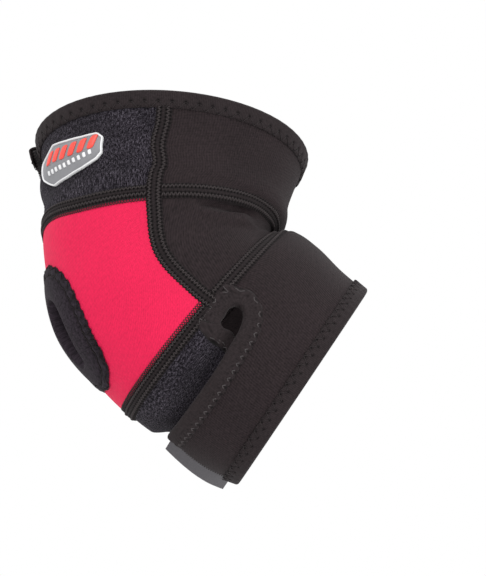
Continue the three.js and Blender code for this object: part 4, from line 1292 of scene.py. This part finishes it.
class BRACE_OT_badge(bpy.types.Operator):
    """Rubber badge on the upper loop panel: plate, raised border and a generic relief of plain studs"""

    bl_idname = "brace.badge"
    bl_label = "Badge"

    def execute(self, context):
        """The border is a rounded section carried round the outline; the plate is the outline filled
        towards its middle; each stud is a low rounded block on the plate."""
        line, inward = badge_outline()
        w = PLATE_FRAME_WIDTH * 0.5
        across = w / 2 * (1 - np.cos(np.linspace(0, np.pi, 9)))
        up = GAP + 0.3 * MM + 0.85 * MM * np.sin(np.linspace(0, np.pi, 9)) ** 0.7
        flat = line[:, None] + inward[:, None] * across[None, :, None]
        top, low = laid(flat, up), laid(flat, -0.1 * MM)
        rings = np.concatenate([top, low[:, ::-1]], 1)
        piece("badge_border", rings, swept(rings, True), ("frame",), "badge_edge", "badge_frame")
        inset = line + inward * (w * 0.8)
        spine = np.clip(inset[:, 1], 14 * PLATE_SCALE[1], 46 * PLATE_SCALE[1])
        middle = (PLATE[:, 1] + PLATE[:, 2]) / 2
        down = np.interp(spine / PLATE_SCALE[1], PLATE[:, 0], middle) * PLATE_SCALE[0]
        centre = np.stack([down, spine], -1)
        share = np.linspace(1, 0.001, 22)
        flat = centre[:, None] + (inset - centre)[:, None] * share[None, :, None]
        level = FACE_LEVEL - 0.2 * MM * bell(share, 1, 1 / 6)
        top, low = laid(flat, level), laid(flat, -0.1 * MM)
        rings = np.concatenate([top, low[:, ::-1]], 1)
        piece("badge_face", rings, swept(rings, True), ("plate",), "badge", "badge_plate")
        lean = unit(np.array([1.0, -0.35]))
        red, pale = [], []
        for angle in np.linspace(17, 46, 6):
            at, way = badge_row(0.33, angle)
            red.append(stud(at, lean, way, 2.5 * MM, 1.75 * MM, FACE_LEVEL, 0.5 * MM))
        for angle in np.linspace(16, 45, 10):
            at, way = badge_row(0.66, angle)
            beside = np.array([-way[1], way[0]])
            pale.append(stud(at, beside, way, 0.8 * MM, 0.8 * MM, FACE_LEVEL, 0.4 * MM))
        joined("badge_studs_red", red, "mark", "badge")
        joined("badge_studs_pale", pale, "frame", "badge_edge")
        return {"FINISHED"}


# Stage

def set_place(holder, axes, spot):
    """Turns an object so that its axes are the columns of axes, and moves it to the spot."""
    holder.matrix_world = Matrix([(*row, p) for row, p in zip(axes, spot)] + [(0, 0, 0, 1)])


class BRACE_OT_stage(bpy.types.Operator):
    """Pale floor, soft studio light and the camera"""

    bl_idname = "brace.stage"
    bl_label = "Stage"

    def execute(self, context):
        """A flat floor below the camera, three soft lamps and a pale world."""
        settings = context.scene.brace_stage
        half = 4.0
        grid = np.array([(-half, -half), (half, -half), (half, half), (-half, half)])
        low, high = settings.floor - 0.02, settings.floor
        points = np.concatenate([np.c_[grid, np.full(4, low)], np.c_[grid, np.full(4, high)]])
        quads = [(3, 2, 1, 0), (4, 5, 6, 7), (0, 1, 5, 4), (1, 2, 6, 5), (2, 3, 7, 6), (3, 0, 4, 7)]
        material, n, shader = new_material("studio_floor", 0.9, 0.5)
        grain = n.noise(n.place(), 6.0, 2.0)
        n.link(shader.inputs["Base Color"], n.blend(grain, (0.86, 0.86, 0.86, 1), (0.9, 0.9, 0.9, 1)))
        mesh = bpy.data.meshes.new("studio_floor")
        mesh.from_pydata([tuple(p) for p in points], [], quads)
        mesh.materials.append(material)
        floor = bpy.data.objects.new("studio_floor", mesh)
        context.scene.collection.objects.link(floor)
        world = context.scene.world or bpy.data.worlds.new("studio")
        context.scene.world = world
        world.use_nodes = True
        back = world.node_tree.nodes["Background"]
        back.inputs["Color"].default_value = (1, 1, 1, 1)
        back.inputs["Strength"].default_value = settings.world
        for name, spot, power, size in (
                ("key", (-0.75, -0.75, 0.55), settings.key, 0.6),
                ("fill", (0.75, -0.75, -0.2), settings.fill, 0.8),
                ("top", (0.1, 0.1, 1.1), settings.top, 0.8)):
            lamp = bpy.data.lights.new(name, "AREA")
            lamp.energy, lamp.size = power, size
            holder = bpy.data.objects.new(name, lamp)
            out = np.array(spot) / np.linalg.norm(spot)
            right = unit(np.cross((0, 0, 1.0), out)) if abs(out[2]) < 0.99 else np.array((1.0, 0, 0))
            above = np.cross(out, right)
            set_place(holder, np.stack([right, above, out], 1), spot)
            context.scene.collection.objects.link(holder)
        camera = bpy.data.cameras.new("camera")
        camera.lens, camera.sensor_width = settings.lens, 36.0
        camera.clip_start = 0.05
        holder = bpy.data.objects.new("camera", camera)
        right, above, ahead = CAMERA_AXES
        set_place(holder, np.stack([right, above, -np.array(ahead)], 1), CAMERA_PLACE)
        context.scene.collection.objects.link(holder)
        context.scene.camera = holder
        context.scene.view_settings.view_transform = "Standard"
        return {"FINISHED"}


# The photograph's point of view: image right, image up and ahead, and the eye
CAMERA_AXES = ((0.97315, -0.22699, 0.03804), (-0.12891, -0.40065, 0.90712), (0.19067, 0.88767, 0.41916))
CAMERA_PLACE = (-0.15656, -0.89601, -0.41701)


# Settings

def colour(name, description, default):
    return bpy.props.FloatVectorProperty(name=name, description=description, subtype="COLOR", size=3,
                                         min=0, max=1, default=default)


def length(name, description, default):
    return bpy.props.FloatProperty(name=name, description=description, default=default, unit="LENGTH",
                                   subtype="DISTANCE", min=0.0001, max=0.02)


class BraceCloth(bpy.types.PropertyGroup):
    smooth: colour("Smooth cloth", "Front, crook and strap cloth", (0.0178, 0.0123, 0.0134))
    red: colour("Elbow cloth", "Cloth round the elbow opening", (0.645, 0.0115, 0.066))
    # The two pile colours are painted light: shade in the depth of the loop pile and sheen on its tips
    pile_depth_shade: colour("Pile shade", "Depth of the loop pile", (0.004, 0.003, 0.0048))
    pile_sheen: colour("Pile light", "Tips of the loop pile", (0.215, 0.187, 0.235))
    foam: colour("Foam", "Cut edge of the cloth", (0.05, 0.048, 0.05))
    wale: length("Wale pitch", "Distance between the knit's ribs", 1.05 * MM)


class BraceSewing(bpy.types.PropertyGroup):
    tape: colour("Tape", "Binding tape", (0.0192, 0.0143, 0.0152))
    band: colour("Band", "Soft band round the elbow opening", (0.0195, 0.0145, 0.0195))
    seam: colour("Seam ground", "Cloth under the flatlock threads", (0.0145, 0.0107, 0.0114))
    thread: colour("Thread", "Sewing thread", (0.034, 0.0275, 0.028))
    light_thread: colour("Light thread", "Thread along the straps", (0.052, 0.0455, 0.0465))
    tab: colour("Hook tab", "Back of the hook tape", (0.084, 0.0795, 0.0865))
    thread_radius: length("Thread radius", "Half the thickness of a thread", 0.2 * MM)
    rim_pitch: length("Rim pitch", "Zigzag along the rim", 5.7 * MM)
    hem_pitch: length("Hem pitch", "Zigzag along the hem", 4.4 * MM)
    slot_pitch: length("Strap pitch", "Zigzag along the strap", 3.3 * MM)
    chain_pitch: length("Chain pitch", "Eyelets along the red cloth", 2.4 * MM)
    seam_pitch: length("Seam pitch", "Stitches of the flatlock seams", 1.62 * MM)
    tooth_pitch: length("Tooth pitch", "Overlock teeth of the elbow band", 3.0 * MM)


class BraceBadge(bpy.types.PropertyGroup):
    plate: colour("Plate", "Rubber plate", (0.2, 0.2, 0.212))
    border: colour("Border", "Raised border", (0.72, 0.72, 0.73))
    studs: colour("Studs", "Raised studs", (0.78, 0.06, 0.04))


class BraceStage(bpy.types.PropertyGroup):
    floor: bpy.props.FloatProperty(name="Floor", description="Height of the floor", default=-0.62,
                                   unit="LENGTH", subtype="DISTANCE")
    lens: bpy.props.FloatProperty(name="Lens", description="Focal length in millimetres", default=148.8)
    world: bpy.props.FloatProperty(name="World", description="Strength of the pale surroundings",
                                   default=1.0)
    key: bpy.props.FloatProperty(name="Key", description="Watts of the lamp at the left", default=5.5)
    fill: bpy.props.FloatProperty(name="Fill", description="Watts of the lamp at the right", default=5.0)
    top: bpy.props.FloatProperty(name="Top", description="Watts of the lamp above", default=3.2)


GROUPS = (("brace_cloth", BraceCloth), ("brace_sewing", BraceSewing), ("brace_badge", BraceBadge),
          ("brace_stage", BraceStage))
STEPS = (BRACE_OT_stage, BRACE_OT_panels, BRACE_OT_edge_tapes, BRACE_OT_slot_tapes, BRACE_OT_elbow_band,
         BRACE_OT_seams, BRACE_OT_strap_ends, BRACE_OT_badge)


class BRACE_PT_sidebar(bpy.types.Panel):
    """Lists the brace's pieces and its settings"""

    bl_idname = "BRACE_PT_sidebar"
    bl_label = "Elbow brace"
    bl_space_type = "VIEW_3D"
    bl_region_type = "UI"
    bl_category = "Brace"

    def draw(self, context):
        for step in STEPS:
            self.layout.operator(step.bl_idname)
        for key, group in GROUPS:
            box = self.layout.box()
            for field in group.__annotations__:
                box.prop(getattr(context.scene, key), field)


def register():
    for _, group in GROUPS:
        bpy.utils.register_class(group)
    for key, group in GROUPS:
        setattr(bpy.types.Scene, key, bpy.props.PointerProperty(type=group))
    for cls in (*STEPS, BRACE_PT_sidebar):
        bpy.utils.register_class(cls)


def unregister():
    for cls in reversed((*STEPS, BRACE_PT_sidebar)):
        bpy.utils.unregister_class(cls)
    for key, group in reversed(GROUPS):
        delattr(bpy.types.Scene, key)
        bpy.utils.unregister_class(group)


def main():
    register()
    for step in STEPS:
        area, name = step.bl_idname.split(".")
        if getattr(getattr(bpy.ops, area), name)() != {"FINISHED"}:
            raise RuntimeError(f"{step.bl_label} wasn't made")


if __name__ == "__main__":
    main()
